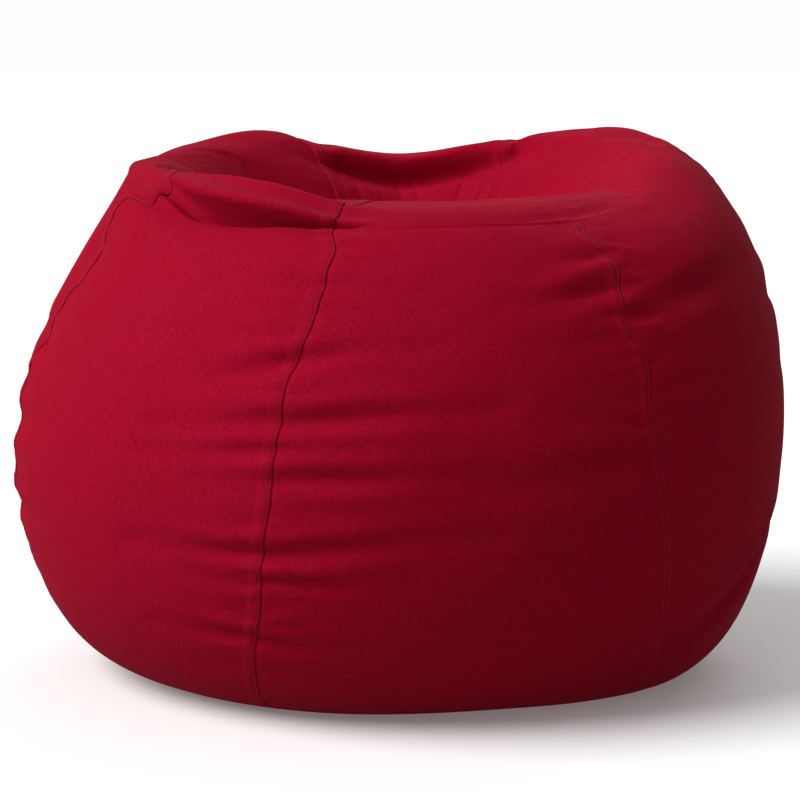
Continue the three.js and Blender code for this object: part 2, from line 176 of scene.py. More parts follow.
def twillMaterial(cloth):
    # cotton twill, piece dyed: diagonal ribs catch the light as a fine grain,
    # and worn dye and flecked yarn make the red slightly uneven
    material, tree, shader = newMaterial("cotton twill, woven", {
        "IOR": 1.45, "Specular IOR Level": 0.06, "Sheen Weight": 0.03, "Sheen Roughness": 0.45,
        "Sheen Tint": linear(cloth["sheenColour"]),
    })
    uv = addNode(tree, "ShaderNodeUVMap", {"uv_map": "cut"})
    ribs = addNode(tree, "ShaderNodeMapping", {"Rotation": (0, 0, math.radians(cloth["ribSlope"]))},
                   {"Vector": uv.outputs[0]})
    wave = addNode(tree, "ShaderNodeTexWave", {
        "bands_direction": "X", "Scale": waveUnit / (cloth["ribPitch"] * mm),
        "Distortion": 1.2, "Detail": 1.0, "Detail Scale": 2.0,
    }, {"Vector": ribs.outputs[0]})
    place = addNode(tree, "ShaderNodeTexCoord")
    at = {"Vector": place.outputs["Object"]}
    fuzz = addNode(tree, "ShaderNodeTexNoise", {"Scale": cloth["fuzzScale"], "Detail": 2.0}, at)
    slubs = addNode(tree, "ShaderNodeTexNoise", {"Scale": 1 / (cloth["slubSize"] * mm), "Detail": 3.0}, at)
    wear = addNode(tree, "ShaderNodeTexNoise",
                   {"Scale": cloth["wearScale"], "Detail": 4.0, "Roughness": 0.6}, at)
    fleck = addNode(tree, "ShaderNodeTexNoise",
                    {"Scale": 1 / (cloth["heather"] * mm), "Detail": 3.0, "Roughness": 0.7}, at)
    shade = addNode(tree, "ShaderNodeMix",
                    {"data_type": "RGBA", 6: linear(cloth["shadeColour"]), 7: linear(cloth["colour"])},
                    {0: wear.outputs[0]})
    flecks = addNode(tree, "ShaderNodeMapRange", {"From Min": 0.38, "From Max": 0.68, "To Max": 0.8},
                     {"Value": fleck.outputs[0]})
    ribShare = addNode(tree, "ShaderNodeMath", {"operation": "MULTIPLY_ADD", 1: 0.3},
                       {0: wave.outputs[0], 2: flecks.outputs[0]})
    tint = addNode(tree, "ShaderNodeMix", {"data_type": "RGBA", 7: linear(cloth["warpColour"])},
                   {0: ribShare.outputs[0], 6: shade.outputs[2]})
    height = addNode(tree, "ShaderNodeMath", {"operation": "MULTIPLY_ADD", 1: 0.5},
                     {0: fuzz.outputs[0], 2: wave.outputs[0]})
    bump = addNode(tree, "ShaderNodeBump", {"Strength": 0.8, "Distance": cloth["ribHeight"] * mm},
                   {"Height": height.outputs[0]})
    rough = addNode(tree, "ShaderNodeMapRange",
                    {"From Min": 0.3, "From Max": 0.7, "To Min": 0.8, "To Max": 0.92},
                    {"Value": slubs.outputs[0]})
    tree.links.new(tint.outputs[2], shader.inputs["Base Color"])
    tree.links.new(bump.outputs[0], shader.inputs["Normal"])
    tree.links.new(rough.outputs[0], shader.inputs["Roughness"])
    return material


def plainMaterial(name, colour, roughness, metallic=0.0, grain=0.25, bumpHeight=0.05):
    # grain and bumpHeight in millimetres
    material, tree, shader = newMaterial(name, {
        "Base Color": linear(colour), "Roughness": roughness, "Metallic": metallic})
    place = addNode(tree, "ShaderNodeTexCoord")
    noise = addNode(tree, "ShaderNodeTexNoise", {"Scale": 1 / (grain * mm), "Detail": 2.0},
                    {"Vector": place.outputs["Object"]})
    bump = addNode(tree, "ShaderNodeBump", {"Strength": 0.3, "Distance": bumpHeight * mm},
                   {"Height": noise.outputs[0]})
    tree.links.new(bump.outputs[0], shader.inputs["Normal"])
    return material


# ---------- the bag's shape, in millimetres

bag = {
    "bellyRadius": (cadBox[1][0] - cadBox[0][0]) / 2 / mm,
    "baseRadius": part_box("base_panel_front")[1].x / mm,
    "bellyHeight": 228,
    "bellyLean": 22,  # the belly sits higher on the +X side
    "floorHeight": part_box("crown_patch")[1].z / mm,  # of the seat hollow
    "hollowBack": (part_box("crown_patch")[0].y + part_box("crown_patch")[1].y) / 2 / mm,
    "hollowSide": 6,
    "crownRadius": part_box("crown_patch")[1].x / mm,
    "hollowShare": 0.34,  # of the way out from the crown, where the hollow's floor ends
    "shoulder": 1.35,  # 1 is a quarter ellipse, more leans in
    "foldRadius": 0.93,  # of the belly's radius, for lengths along a fold
}

# seams, left of each panel: angle at the base edge, the belly, the upper side and the rim
seamAngles = {
    "base": [-28, 52, 112, 167, 220, 270],
    "belly": [-17, 38, 99, 160, 219, 281],
    "upper": [-12, 34, 98, 155, 214, 283],
    "rim": [-13, 37.5, 98, 150, 206, 288],
}

seamKnots = [0, 1, 1.62, 2, 4]  # stages of those, and of the crown

# where a seam wanders off its line: seam, stage, spread in stages, degrees
wanders = [
    (5, 2.1, 0.2, 15), (5, 1.95, 0.08, 4), (5, 1.55, 0.14, 6.5), (5, 1.475, 0.04, 2.5),
    (0, 1.75, 0.08, 1.0), (0, 1.3, 0.09, -0.8), (0, 0.7, 0.1, 0.7),
    (1, 1.9, 0.06, 0.8), (1, 1.62, 0.14, 3.8), (1, 1.3, 0.07, 1.2), (1, 1.14, 0.08, -1.0),
    (2, 1.5, 0.1, 1.4), (2, 0.8, 0.12, -1.2), (3, 1.6, 0.1, -1.5), (3, 0.9, 0.12, 1.2),
    (4, 1.55, 0.1, 1.5), (4, 0.85, 0.12, -1.2), (5, 0.7, 0.12, 1.0),
]

# the rim passes through these: angle (0 front, 90 to +X), radius, height
rimPoints = [
    (-160, 254, 505), (-147, 262, 518), (-125, 270, 508), (-105, 266, 497), (-92, 266, 495),
    (-78, 268, 483), (-62, 272, 466), (-48, 268, 452), (-20, 266, 449), (15, 268, 451),
    (45, 264, 454), (65, 262, 470), (85, 262, 499), (105, 266, 516), (122, 270, 525),
    (142, 262, 518), (160, 254, 504), (180, 250, 492),
]

shoulderLeans = [  # angle, spread, change of the shoulder's lean
    (-88, 44, 1.1),
    (85, 50, -0.22),
    (5, 45, 0.25),
]

# dents and swellings: angle, stage, spread in degrees, spread in stages, out, up
dents = [
    # swelling behind the pleat at the front left, up to the left corner
    (-36, 2.26, 22, 0.12, 0, 20),
    (-70, 2.2, 18, 0.12, 2, 15),
    # how the bag sits: lifted in front on the right, spread out low on the far right and left
    (20, 0.16, 26, 0.3, -4, 1),
    (46, 0.2, 20, 0.3, 6, -2.5),
    (78, 0.26, 30, 0.34, 15, -3),
    (-92, 0.3, 36, 0.3, 6, 0),
    # softer fold down the back wall
    (-157, 2.2, 5, 0.3, -7, -4),
    # hollows on the left flank, by the seam
    (-72, 1.55, 7, 0.09, -8, 0),
    (-74, 1.36, 7, 0.07, -7, 0),
    # full right shoulder, with a small hollow beside the seam
    (60, 1.7, 19, 0.22, 9, 0),
    (47, 1.5, 10, 0.06, -3, 0),
]

# sharper ones, put in after the cloth has settled
# the last value is how far their stage shifts over one spread, towards +X
creases = [
    # pleat behind the front left rim: a groove, and a roll of cloth that leans out over it
    (-31, 2.075, 19, 0.032, -11, -14, -0.01),
    (-34, 2.155, 22, 0.034, 21, 9, -0.035),
    (-57, 2.05, 8, 0.05, 4, 9, 0),
    # the back rim rolls in over a groove
    (176, 2.2, 27, 0.09, -8, 2, 0),
    (173, 2.44, 30, 0.1, 22, -14, 0),
    # vertical fold down the back wall
    (149, 2.15, 3.0, 0.22, -8, -5, 0),
    (133, 2.22, 4, 0.17, -4, -3, 0.06),
    (114, 2.2, 5, 0.2, -6, -3, 0.1),
    # crisp edge along the front rim
    (12, 2.03, 30, 0.03, 2, 2.5, 0),
    (12, 2.1, 30, 0.05, 0, -3, 0),
]

# the front of the seat is a level shelf before the hollow behind it
shelf = {
    "height": 463,
    "rise": (5, -180, 120),  # by this much, from this y, over this length
    "leftRise": (12, 60, 110),  # the same towards -X
    "middle": (12, 62),  # of the hollow, x and y
    "edge": 108,  # from there to the shelf
    "blend": 62,
    "frontFade": (40, 110),  # ends at this y, over this length
    "rimBlend": (2.02, 0.3),  # starts at this stage, over this many
    "share": 0.92,
}

# long folds: angle, height on the side wall, half length, half width, depth, climb over the half length
folds = [
    (-14, 404, 55, 8, 3.2, -6), (-16, 338, 70, 10, 4.2, 14), (-11, 291, 85, 10, 4.6, 4),
    (-20, 263, 60, 8, 3.2, 2), (-9, 241, 70, 9, 3.6, -2), (-22, 172, 60, 9, 3.4, -6),
    (-9, 180, 75, 9, 3.6, 4), (-15, 148, 55, 8, 3.0, -6), (-22, 90, 60, 9, 3.2, -10),
    (35, 424, 40, 9, 2.0, 4), (31, 396, 50, 11, 3.8, 10), (54, 392, 70, 15, 3.6, 8),
    (39, 372, 30, 8, 2.4, -4), (27, 243, 80, 16, 2.8, 6), (60, 95, 70, 12, 4.0, 30),
    (70, 130, 70, 12, 3.4, 30),
    (96, 380, 80, 12, 4.5, 8), (101, 300, 70, 11, 3.8, -6), (104, 210, 80, 12, 3.6, 5),
    (158, 400, 80, 12, 5.0, -10), (163, 320, 75, 11, 4.2, 5), (165, 240, 80, 12, 3.8, -4),
    (220, 410, 80, 12, 4.8, 8), (217, 330, 70, 11, 4.2, -6), (221, 235, 85, 12, 3.6, 6),
    (283, 330, 70, 10, 4.0, -8), (280, 250, 75, 11, 3.6, 6), (276, 170, 70, 11, 3.4, -6),
]
foldGain = 1.3
# ridges beside a fold: height as a share of its depth, place and spread in half widths
foldRidges = [(0.45, 1.7, 1.1), (0.3, -1.7, 1.2)]


def smoothRound(angle, points, column):
    # periodic cubic through the points, with even slopes
    at = np.array([p[0] for p in points], float)
    value = np.array([p[column] for p in points], float)
    order = np.argsort(at)
    at, value = at[order], value[order]
    at = np.concatenate([at - 360, at, at + 360])
    value = np.tile(value, 3)
    slope = np.gradient(value, at)
    turned = (np.asarray(angle, float) + 180) % 360 - 180
    i = np.clip(np.searchsorted(at, turned, "right") - 1, 0, len(at) - 2)
    step = at[i + 1] - at[i]
    t = (turned - at[i]) / step
    a, b = value[i], value[i + 1]
    return ((2 * t ** 3 - 3 * t ** 2 + 1) * a + (t ** 3 - 2 * t ** 2 + t) * step * slope[i]
            + (3 * t ** 2 - 2 * t ** 3) * b + (t ** 3 - t ** 2) * step * slope[i + 1])


def smoothStep(t):
    t = np.clip(t, 0, 1)
    return t * t * (3 - 2 * t)


def turnBetween(angle, middle):
    return (angle - middle + 180) % 360 - 180


def seamLine(panel, level):
    angles = seamAngles[level] + [seamAngles[level][0] + 360]
    return np.interp(np.asarray(panel, float) % 6, range(7), angles)


def columnAngle(panel, stage):
    # stage 0 base edge, 1 belly, 2 rim, 4 crown
    levels = [seamLine(panel, k) for k in ("base", "belly", "upper", "rim", "rim")]
    angle = levels[0]
    for k in range(4):
        share = np.clip((stage - seamKnots[k]) / (seamKnots[k + 1] - seamKnots[k]), 0, 1)
        share = smoothStep(share) if k in (1, 2) else share
        angle = angle + share * (levels[k + 1] - levels[k])
    for seam, atStage, tall, by in wanders:
        near = np.clip(1 - np.abs((panel - seam + 3) % 6 - 3), 0, 1)
        angle = angle + by * near * np.exp(-((stage - atStage) / tall) ** 2)
    return angle


def bellyHeight(angle):
    return bag["bellyHeight"] + bag["bellyLean"] * np.sin(np.radians(angle))


def stageOfHeight(height, angle):
    belly = bellyHeight(angle)
    if height < belly:
        return math.acos(1 - height / belly) / (math.pi / 2)
    top = float(smoothRound(angle, rimPoints, 2))
    return 1 + math.asin((height - belly) / (top - belly)) / (math.pi / 2)


def bagPoint(panel, stage):
    # x, y, z of the plain form; panel counts panels round from the front left seam
    panel, stage = np.broadcast_arrays(np.asarray(panel, float), np.asarray(stage, float))
    angle = columnAngle(panel, stage)
    belly = bellyHeight(angle)
    rimRadius = smoothRound(angle, rimPoints, 1)
    rimHeight = smoothRound(angle, rimPoints, 2)
    lower = np.clip(stage, 0, 1) * np.pi / 2
    radius = bag["baseRadius"] + (bag["bellyRadius"] - bag["baseRadius"]) * np.sin(lower)
    height = belly * (1 - np.cos(lower))
    lean = bag["shoulder"] + sum(rise * np.exp(-(turnBetween(angle, at) / spread) ** 2)
                                 for at, spread, rise in shoulderLeans)
    upper = np.clip(stage - 1, 0, 1) * np.pi / 2
    onShoulder = stage > 1
    shoulder = rimRadius + (bag["bellyRadius"] - rimRadius) * np.cos(upper) ** lean
    radius = np.where(onShoulder, shoulder, radius)
    height = np.where(onShoulder, belly + (rimHeight - belly) * np.sin(upper), height)
    outward = np.clip((4 - stage) / 2, 0, 1)  # 1 at the rim, 0 at the crown
    slope = np.clip((outward - bag["hollowShare"]) / (1 - bag["hollowShare"]), 0, 1)
    onTop = stage > 2
    radius = np.where(onTop, rimRadius * outward, radius)
    bowl = bag["floorHeight"] + (rimHeight - bag["floorHeight"]) * (1 - np.cos(np.pi * slope)) / 2
    height = np.where(onTop, bowl, height)
    turn = np.radians(angle)
    inward = 1 - outward
    x = radius * np.sin(turn) + bag["hollowSide"] * inward
    y = -radius * np.cos(turn) + bag["hollowBack"] * inward
    rise, fromY, overY = shelf["rise"]
    leftRise, fromX, overX = shelf["leftRise"]
    level = shelf["height"] + rise * smoothStep((y - fromY) / overY)
    level = level + leftRise * smoothStep((-x - fromX) / overX)
    fromMiddle = np.hypot(x - shelf["middle"][0], y - shelf["middle"][1])
    fadeEnd, fadeOver = shelf["frontFade"]
    rimStart, rimOver = shelf["rimBlend"]
    onShelf = smoothStep((fromMiddle - shelf["edge"]) / shelf["blend"])
    onShelf = onShelf * smoothStep((fadeEnd - y) / fadeOver)
    onShelf = onShelf * smoothStep((stage - rimStart) / rimOver) * shelf["share"]
    height = height + onShelf * np.maximum(level - height, 0)
    return np.stack([x, y, height], -1) + dentShift(dents, angle, stage)


def dentShift(listed, angle, stage):
    # how far the listed dents move a point, as x, y, z
    out, up = 0, 0
    for at, atStage, spread, tall, outBy, upBy, *slant in listed:
        around = turnBetween(angle, at) / spread
        middle = atStage + (slant[0] * around if slant else 0)
        share = np.exp(-np.abs(around) ** 3 - ((stage - middle) / tall) ** 2)
        out = out + outBy * share
        up = up + upBy * share
    turn = np.radians(angle)
    return np.stack([out * np.sin(turn), -out * np.cos(turn), up], -1)


def gridNormals(points, allRound):
    if allRound:
        across = np.roll(points, -1, 0) - np.roll(points, 1, 0)
    else:
        across = np.gradient(points, axis=0)
    along = np.gradient(points, axis=1)
    normal = np.cross(across, along)
    return normal / np.maximum(np.linalg.norm(normal, axis=-1, keepdims=True), 1e-9)


clothGrid = {"perPanel": 44, "rowStep": 7.0}


def rowStages(step):
    # stages spaced evenly up the side of the bag, over the rim and down to the crown
    fine = np.linspace(0, 4, 1601)
    profiles = [bagPoint(panel, fine) for panel in (0.5, 1.5, 3.5)]  # middles of three panels
    line = np.mean([np.stack([np.hypot(p[:, 0], p[:, 1]), p[:, 2]], -1) for p in profiles], 0)
    length = np.concatenate([[0], np.cumsum(np.linalg.norm(np.diff(line, axis=0), axis=1))])
    count = int(length[-1] / step)
    return np.interp(np.linspace(0, length[-1], count + 1), length, fine), length[-1] / count


def addFolds(points, panels, stages):
    # valleys with a soft ridge on each side, running round the bag
    normal = gridNormals(points, True)
    angle = columnAngle(panels[:, None], stages[None])
    shift = np.zeros(points.shape[:2])
    for at, height, reach, wide, depth, climb in folds:
        along = np.radians(turnBetween(angle, at)) * bag["bellyRadius"] * bag["foldRadius"]
        stage = stageOfHeight(height, at)
        row = np.interp(stage, stages, np.arange(len(stages)))
        above = (np.arange(len(stages))[None] - row) * clothGrid["rowUnit"]
        across = above - climb * np.tanh(along / reach)
        t = across / wide
        shape = -np.exp(-t ** 2)
        for high, place, spread in foldRidges:
            shape = shape + high * np.exp(-((t - place) / spread) ** 2)
        shift += foldGain * depth * shape * np.exp(-(along / reach) ** 2)
    return points + normal * shift[..., None]


def formCover():
    stages, clothGrid["rowUnit"] = rowStages(clothGrid["rowStep"])
    panels = np.arange(6 * clothGrid["perPanel"]) / clothGrid["perPanel"]
    points = bagPoint(panels[:, None], stages[None])
    return addFolds(points, panels, stages), panels, stages


print("shape ready")


# ---------- cloth simulation of the whole cover

clothRun = {
    "frames": 24,
    "settings": {
        "quality": 5, "mass": 0.1, "tension_stiffness": 200, "compression_stiffness": 200,
        "shear_stiffness": 50, "bending_stiffness": 0.1, "air_damping": 3, "pin_stiffness": 1,
        "use_pressure": True, "uniform_pressure_force": 2.0,
    },
    "ease": 0.05,  # how much more cloth than bag there is up the side, away from the seams
    "seamReach": 45,  # mm over which the seam holds that ease back
    "hold": 0.1,  # how strongly the beads hold the shape
    "crownHold": 0.6,
    "held": (0.16, 3.6),  # stages between which the cloth is loose
    "end": 3.93,  # stage, inside it the crown is flat
    "cap": 14,  # mm, the most that a point may move
}


def easedCut(points, panels):
    # the cloth as cut: taller than the bag between the seams, not at them
    fromSeam = np.abs((panels + 0.5) % 1 - 0.5) * 2  # 0 at a seam, 1 in the middle of a panel
    width = math.pi * bag["bellyRadius"] / 6
    ease = clothRun["ease"] * (1 - np.exp(-fromSeam * width / clothRun["seamReach"]))
    cut = points.copy()
    cut[..., 2] *= 1 + ease[:, None]
    return cut


def closedGrid(points, allRound=True):
    # vertex list and faces of a grid that goes all round, closed at its first and last row by a point
    columns, rows = points.shape[:2]
    verts = [tuple(p) for p in points.reshape(-1, 3)]
    low, high = len(verts), len(verts) + 1
    verts += [tuple(points[:, 0].mean(0)), tuple(points[:, -1].mean(0))]
    faces = []
    for c in range(columns):
        n = (c + 1) % columns
        for r in range(rows - 1):
            faces.append((c * rows + r, n * rows + r, n * rows + r + 1, c * rows + r + 1))
        faces.append((low, n * rows, c * rows))
        faces.append((high, c * rows + rows - 1, n * rows + rows - 1))
    return verts, faces


def runCloth(points, panels, stages):
    keep = stages < clothRun["end"]
    work = points[:, keep]
    verts, faces = closedGrid(work * mm)
    cutVerts, _ = closedGrid(easedCut(work, panels) * mm)
    mesh = bpy.data.meshes.new("coverCloth")
    mesh.from_pydata(verts, [], faces)
    cover = addObject("coverCloth", mesh)
    cover.shape_key_add(name="stood")
    cut = cover.shape_key_add(name="cut")
    cut.data.foreach_set("co", np.array(cutVerts, np.float32).ravel())
    cut.value = 0
    hold = cover.vertex_groups.new(name="hold")
    firm = np.full(work.shape[:2], clothRun["hold"])
    firm[:, stages[keep] < clothRun["held"][0]] = 1
    firm[:, stages[keep] > clothRun["held"][1]] = clothRun["crownHold"]
    firm = np.append(firm.ravel(), [1, clothRun["crownHold"]])
    for weight in np.unique(firm):
        hold.add(np.flatnonzero(firm == weight).tolist(), float(weight), "REPLACE")
    cloth = cover.modifiers.new("cloth", "CLOTH")
    for key, value in clothRun["settings"].items():
        setattr(cloth.settings, key, value)
    cloth.settings.vertex_group_mass = "hold"
    cloth.settings.rest_shape_key = cut
    cloth.settings.effector_weights.gravity = 0
    cloth.collision_settings.use_collision = False
    cloth.point_cache.frame_end = clothRun["frames"] + 1
    scene = bpy.context.scene
    for number in range(1, clothRun["frames"] + 1):
        scene.frame_set(number)
    done = cover.evaluated_get(bpy.context.evaluated_depsgraph_get())
    co = np.zeros(len(done.data.vertices) * 3, np.float32)
    done.data.vertices.foreach_get("co", co)
    settled = co.reshape(-1, 3)[:work.shape[0] * work.shape[1]].reshape(work.shape).astype(float) / mm
    scene.frame_set(1)
    bpy.data.objects.remove(cover)
    bpy.data.meshes.remove(mesh)
    move = settled - work
    far = np.linalg.norm(move, axis=-1, keepdims=True)
    print("cloth moved up to", round(float(far.max()), 1), "mm, mean", round(float(far.mean()), 2))
    move *= np.minimum(1, clothRun["cap"] / np.maximum(far, 1e-9))
    result = points.copy()
    result[:, keep] = work + move
    return result


cover, panelColumns, stages = formCover()
cover = runCloth(cover, panelColumns, stages)
print("cover cloth ready,", cover.shape)


# ---------- reading the settled cover at any place

def cubicWeights(t):
    return [(-t ** 3 + 2 * t ** 2 - t) / 2, (3 * t ** 3 - 5 * t ** 2 + 2) / 2,
            (-3 * t ** 3 + 4 * t ** 2 + t) / 2, (t ** 3 - t ** 2) / 2]


def coverAt(column, row, creased=True):
    # smooth reading of the grid; column wraps round, row stops at the ends
    columns, rows = cover.shape[:2]
    column, row = np.broadcast_arrays(np.asarray(column, float), np.asarray(row, float))
    c0, r0 = np.floor(column).astype(int), np.clip(np.floor(row).astype(int), 0, rows - 2)
    cw, rw = cubicWeights(column - c0), cubicWeights(np.clip(row - r0, 0, 1))
    out = 0
    for i in range(4):
        for j in range(4):
            r = np.clip(r0 + j - 1, 0, rows - 1)
            out = out + cover[(c0 + i - 1) % columns, r] * (cw[i] * rw[j])[..., None]
    if creased:
        stage = np.interp(row, np.arange(rows), stages)
        out = out + dentShift(creases, columnAngle(column / clothGrid["perPanel"], stage), stage)
    return out


def rowOfStage(stage):
    return np.interp(stage, stages, np.arange(len(stages)))


# ---------- side panels

stitching = {
    "pitch": 3.0,  # mm from one stitch to the next
    "length": 2.3,
    "thread": 0.55,
    "lines": (1.9, 9.0),  # mm from the seam
    "sink": 0.05,
    "dip": 0.35,  # how far a line presses the cloth in
    "dipWidth": 0.8,
}
sewing = {
    "baseSeam": 0.2,  # stage of the seam between the side panels and the base
    "crownSeam": 4 - 2 * bag["crownRadius"] / 262,  # stage; the rim's radius is about 262
    "crownLap": 1.2,  # rows that the panels go on under the crown patch
    "stripWidth": 10,  # felled seam, left of the seam line
    "stripHeight": 0.8,
    "stripEdge": 3.0,
    "stripFoot": 1.8,  # mm from the seam over which the strip rises
    "underlap": 3,
    "cloth": 1.0,  # thickness
    "rowStep": 3.2,
    "rimStep": 1.8,
    "rimStage": (2.12, 0.2),  # where and how wide the rows are that fine
    "margin": 30,  # mm, the middle of a panel is divided evenly within it
    "columnStep": 5.0,
    "narrow": 150,  # mm, a panel narrower than this has weaker puckers
    "topFade": 60,  # mm over which they end at the crown
    "tuck": 0.5,  # how far the left edge goes under the strip of the next panel
    "tuckOver": 3.5,
}
panelNames = ["front_panel", "front_right_panel", "back_right_panel", "back_panel", "back_left_panel",
              "front_left_panel"]
# columns beside a seam, in millimetres from it
nearSeam = [0, 0.7, 1.4, 2.2, 3.6, 5.4, 7.4, 8.8, 9.7, 10.6, 12, 13.5, 16, 19.5]

# two kinds along every seam, in millimetres: long ones and fine ones between them
puckerSeed = 7
puckerShape = {
    "end": 30,  # mm from the crown, none after it
    "swellLength": 97,  # mm, the depth rises and falls along a seam
    "grows": 18,  # mm from the seam over which the depth changes
    "flare": 0.35,  # how much wider it gets on its way out
    "fade": 1.6,  # power of the falling off
    "atSeam": 0.25,  # share of the depth at the seam itself
    "full": 12,  # mm from the seam to the whole depth
    "ridge": 0.45,  # how far the cloth beside it swells, as a share of the depth
    "widths": 3.2,  # how far that reaches
}
puckerKinds = [
    {"start": 25.0, "step": (12, 22), "depth": (0.5, 1.9), "wide": (4.5, 7.5), "reach": (22, 62),
     "growthLeft": (0.4, 1.5), "growthRight": (0.4, 1.5), "climb": 8, "swell": 0.45},
    {"start": 20.0, "step": (6, 11), "depth": (0.2, 0.55), "wide": (2.3, 3.4), "reach": (9, 26),
     "growthLeft": (0.8, 1.8), "growthRight": (0.5, 1.4), "climb": 3, "swell": 0},
]


def seamPuckers(seam, length):
    rng = np.random.default_rng(puckerSeed + seam)
    found = []
    for kind in puckerKinds:
        at = kind["start"]
        while at < length - puckerShape["end"]:
            strong = 1 - kind["swell"] * math.cos(at / puckerShape["swellLength"] + seam) ** 2
            pucker = {"at": at}
            pucker["depth"] = rng.uniform(*kind["depth"]) * strong
            pucker["wide"] = rng.uniform(*kind["wide"])
            for side, growth in (("left", kind["growthLeft"]), ("right", kind["growthRight"])):
                pucker[side] = (rng.uniform(*growth), rng.uniform(*kind["reach"]),
                                rng.uniform(-kind["climb"], kind["climb"]))
            found.append(pucker)
            at += rng.uniform(*kind["step"])
    return found


def puckerShift(puckers, side, fromSeam, up):
    # both sides start from the same depth at the seam, grow or fade a little, and die away
    look = puckerShape
    shift = np.zeros(np.broadcast(fromSeam, up).shape)
    for pucker in puckers:
        growth, reach, climb = pucker[side]
        depth = pucker["depth"] * (1 + (growth - 1) * smoothStep(fromSeam / look["grows"]))
        out = fromSeam / reach
        across = (up - pucker["at"] - climb * out) / (pucker["wide"] * (1 + look["flare"] * out))
        fade = np.exp(-out ** look["fade"])
        fade = fade * (look["atSeam"] + (1 - look["atSeam"]) * smoothStep(fromSeam / look["full"]))
        shape = look["ridge"] - (1 + look["ridge"]) * np.exp(-across ** 2)
        shift += depth * shape * (np.abs(across) < look["widths"]) * fade
    return shift


def stripShift(fromSeam):
    # raised strip of folded cloth left of the seam, with a stitch line pressed in near each edge
    past = np.clip((fromSeam - sewing["stripWidth"]) / sewing["stripEdge"], 0, 1)
    raised = sewing["stripHeight"] * (1 - past)
    raised *= 0.1 + 0.9 * smoothStep(fromSeam / sewing["stripFoot"])
    for line in stitching["lines"]:
        raised = raised - stitching["dip"] * np.exp(-((fromSeam - line) / stitching["dipWidth"]) ** 2)
    return raised


def meshFrom(name, verts, faces, uvs=None):
    mesh = bpy.data.meshes.new(name)
    mesh.from_pydata([tuple(v) for v in verts], [], faces)
    if uvs is not None:
        layer = mesh.uv_layers.new(name="cut")
        loops = np.zeros(len(mesh.loops), np.int32)
        mesh.loops.foreach_get("vertex_index", loops)
        layer.data.foreach_set("uv", np.asarray(uvs, np.float32)[loops].ravel())
    mesh.polygons.foreach_set("use_smooth", [True] * len(mesh.polygons))
    mesh.update()
    return addObject(name, mesh)


def sheetFrom(name, outer, thickness, allRound=False, pointed=False, uvs=None):
    # closed sheet: the outer grid, the same grid moved in, and walls round its open edges
    # a pointed one goes all round and ends in a middle point instead of its last wall
    columns, rows = outer.shape[:2]
    inner = outer - gridNormals(outer, allRound) * thickness
    count = columns * rows
    verts = [outer.reshape(-1, 3), inner.reshape(-1, 3)]
    uvs = outer[..., :2] if uvs is None else uvs
    flat = [uvs.reshape(-1, 2)] * 2

    def at(c, r):
        return (c % columns) * rows + r

    faces = []
    cells = columns if allRound else columns - 1
    top = rows - 1
    for c in range(cells):
        for r in range(rows - 1):
            faces.append((at(c, r), at(c + 1, r), at(c + 1, r + 1), at(c, r + 1)))
            faces.append(tuple(count + n for n in (at(c, r), at(c, r + 1), at(c + 1, r + 1), at(c + 1, r))))
        faces.append((at(c, 0), count + at(c, 0), count + at(c + 1, 0), at(c + 1, 0)))
        if pointed:
            faces.append((at(c, top), at(c + 1, top), 2 * count))
            faces.append((count + at(c + 1, top), count + at(c, top), 2 * count + 1))
        else:
            faces.append((at(c, top), at(c + 1, top), count + at(c + 1, top), count + at(c, top)))
    if pointed:
        verts += [outer[:, top].mean(0)[None], inner[:, top].mean(0)[None]]
        flat += [uvs[:, top].mean(0)[None]] * 2
    if not allRound:
        side = columns - 1
        for r in range(rows - 1):
            faces.append((at(0, r), at(0, r + 1), count + at(0, r + 1), count + at(0, r)))
            faces.append((at(side, r), count + at(side, r), count + at(side, r + 1), at(side, r + 1)))
    return meshFrom(name, np.concatenate(verts) * mm, faces, np.concatenate(flat) * mm)


def panelRows(start, end):
    # rows crowd together by the rim, where the creases are
    fine = np.linspace(start, end, 2001)
    stage = np.interp(fine, np.arange(len(stages)), stages)
    middle, spread = sewing["rimStage"]
    even, finest = 1 / sewing["rowStep"], 1 / sewing["rimStep"]
    crowd = even + (finest - even) * np.exp(-((stage - middle) / spread) ** 4)
    steps = (crowd[1:] + crowd[:-1]) / 2 * np.diff(fine) * clothGrid["rowUnit"]
    count = np.concatenate([[0], np.cumsum(steps)])
    return np.interp(np.linspace(0, count[-1], int(count[-1]) + 1), count, fine)


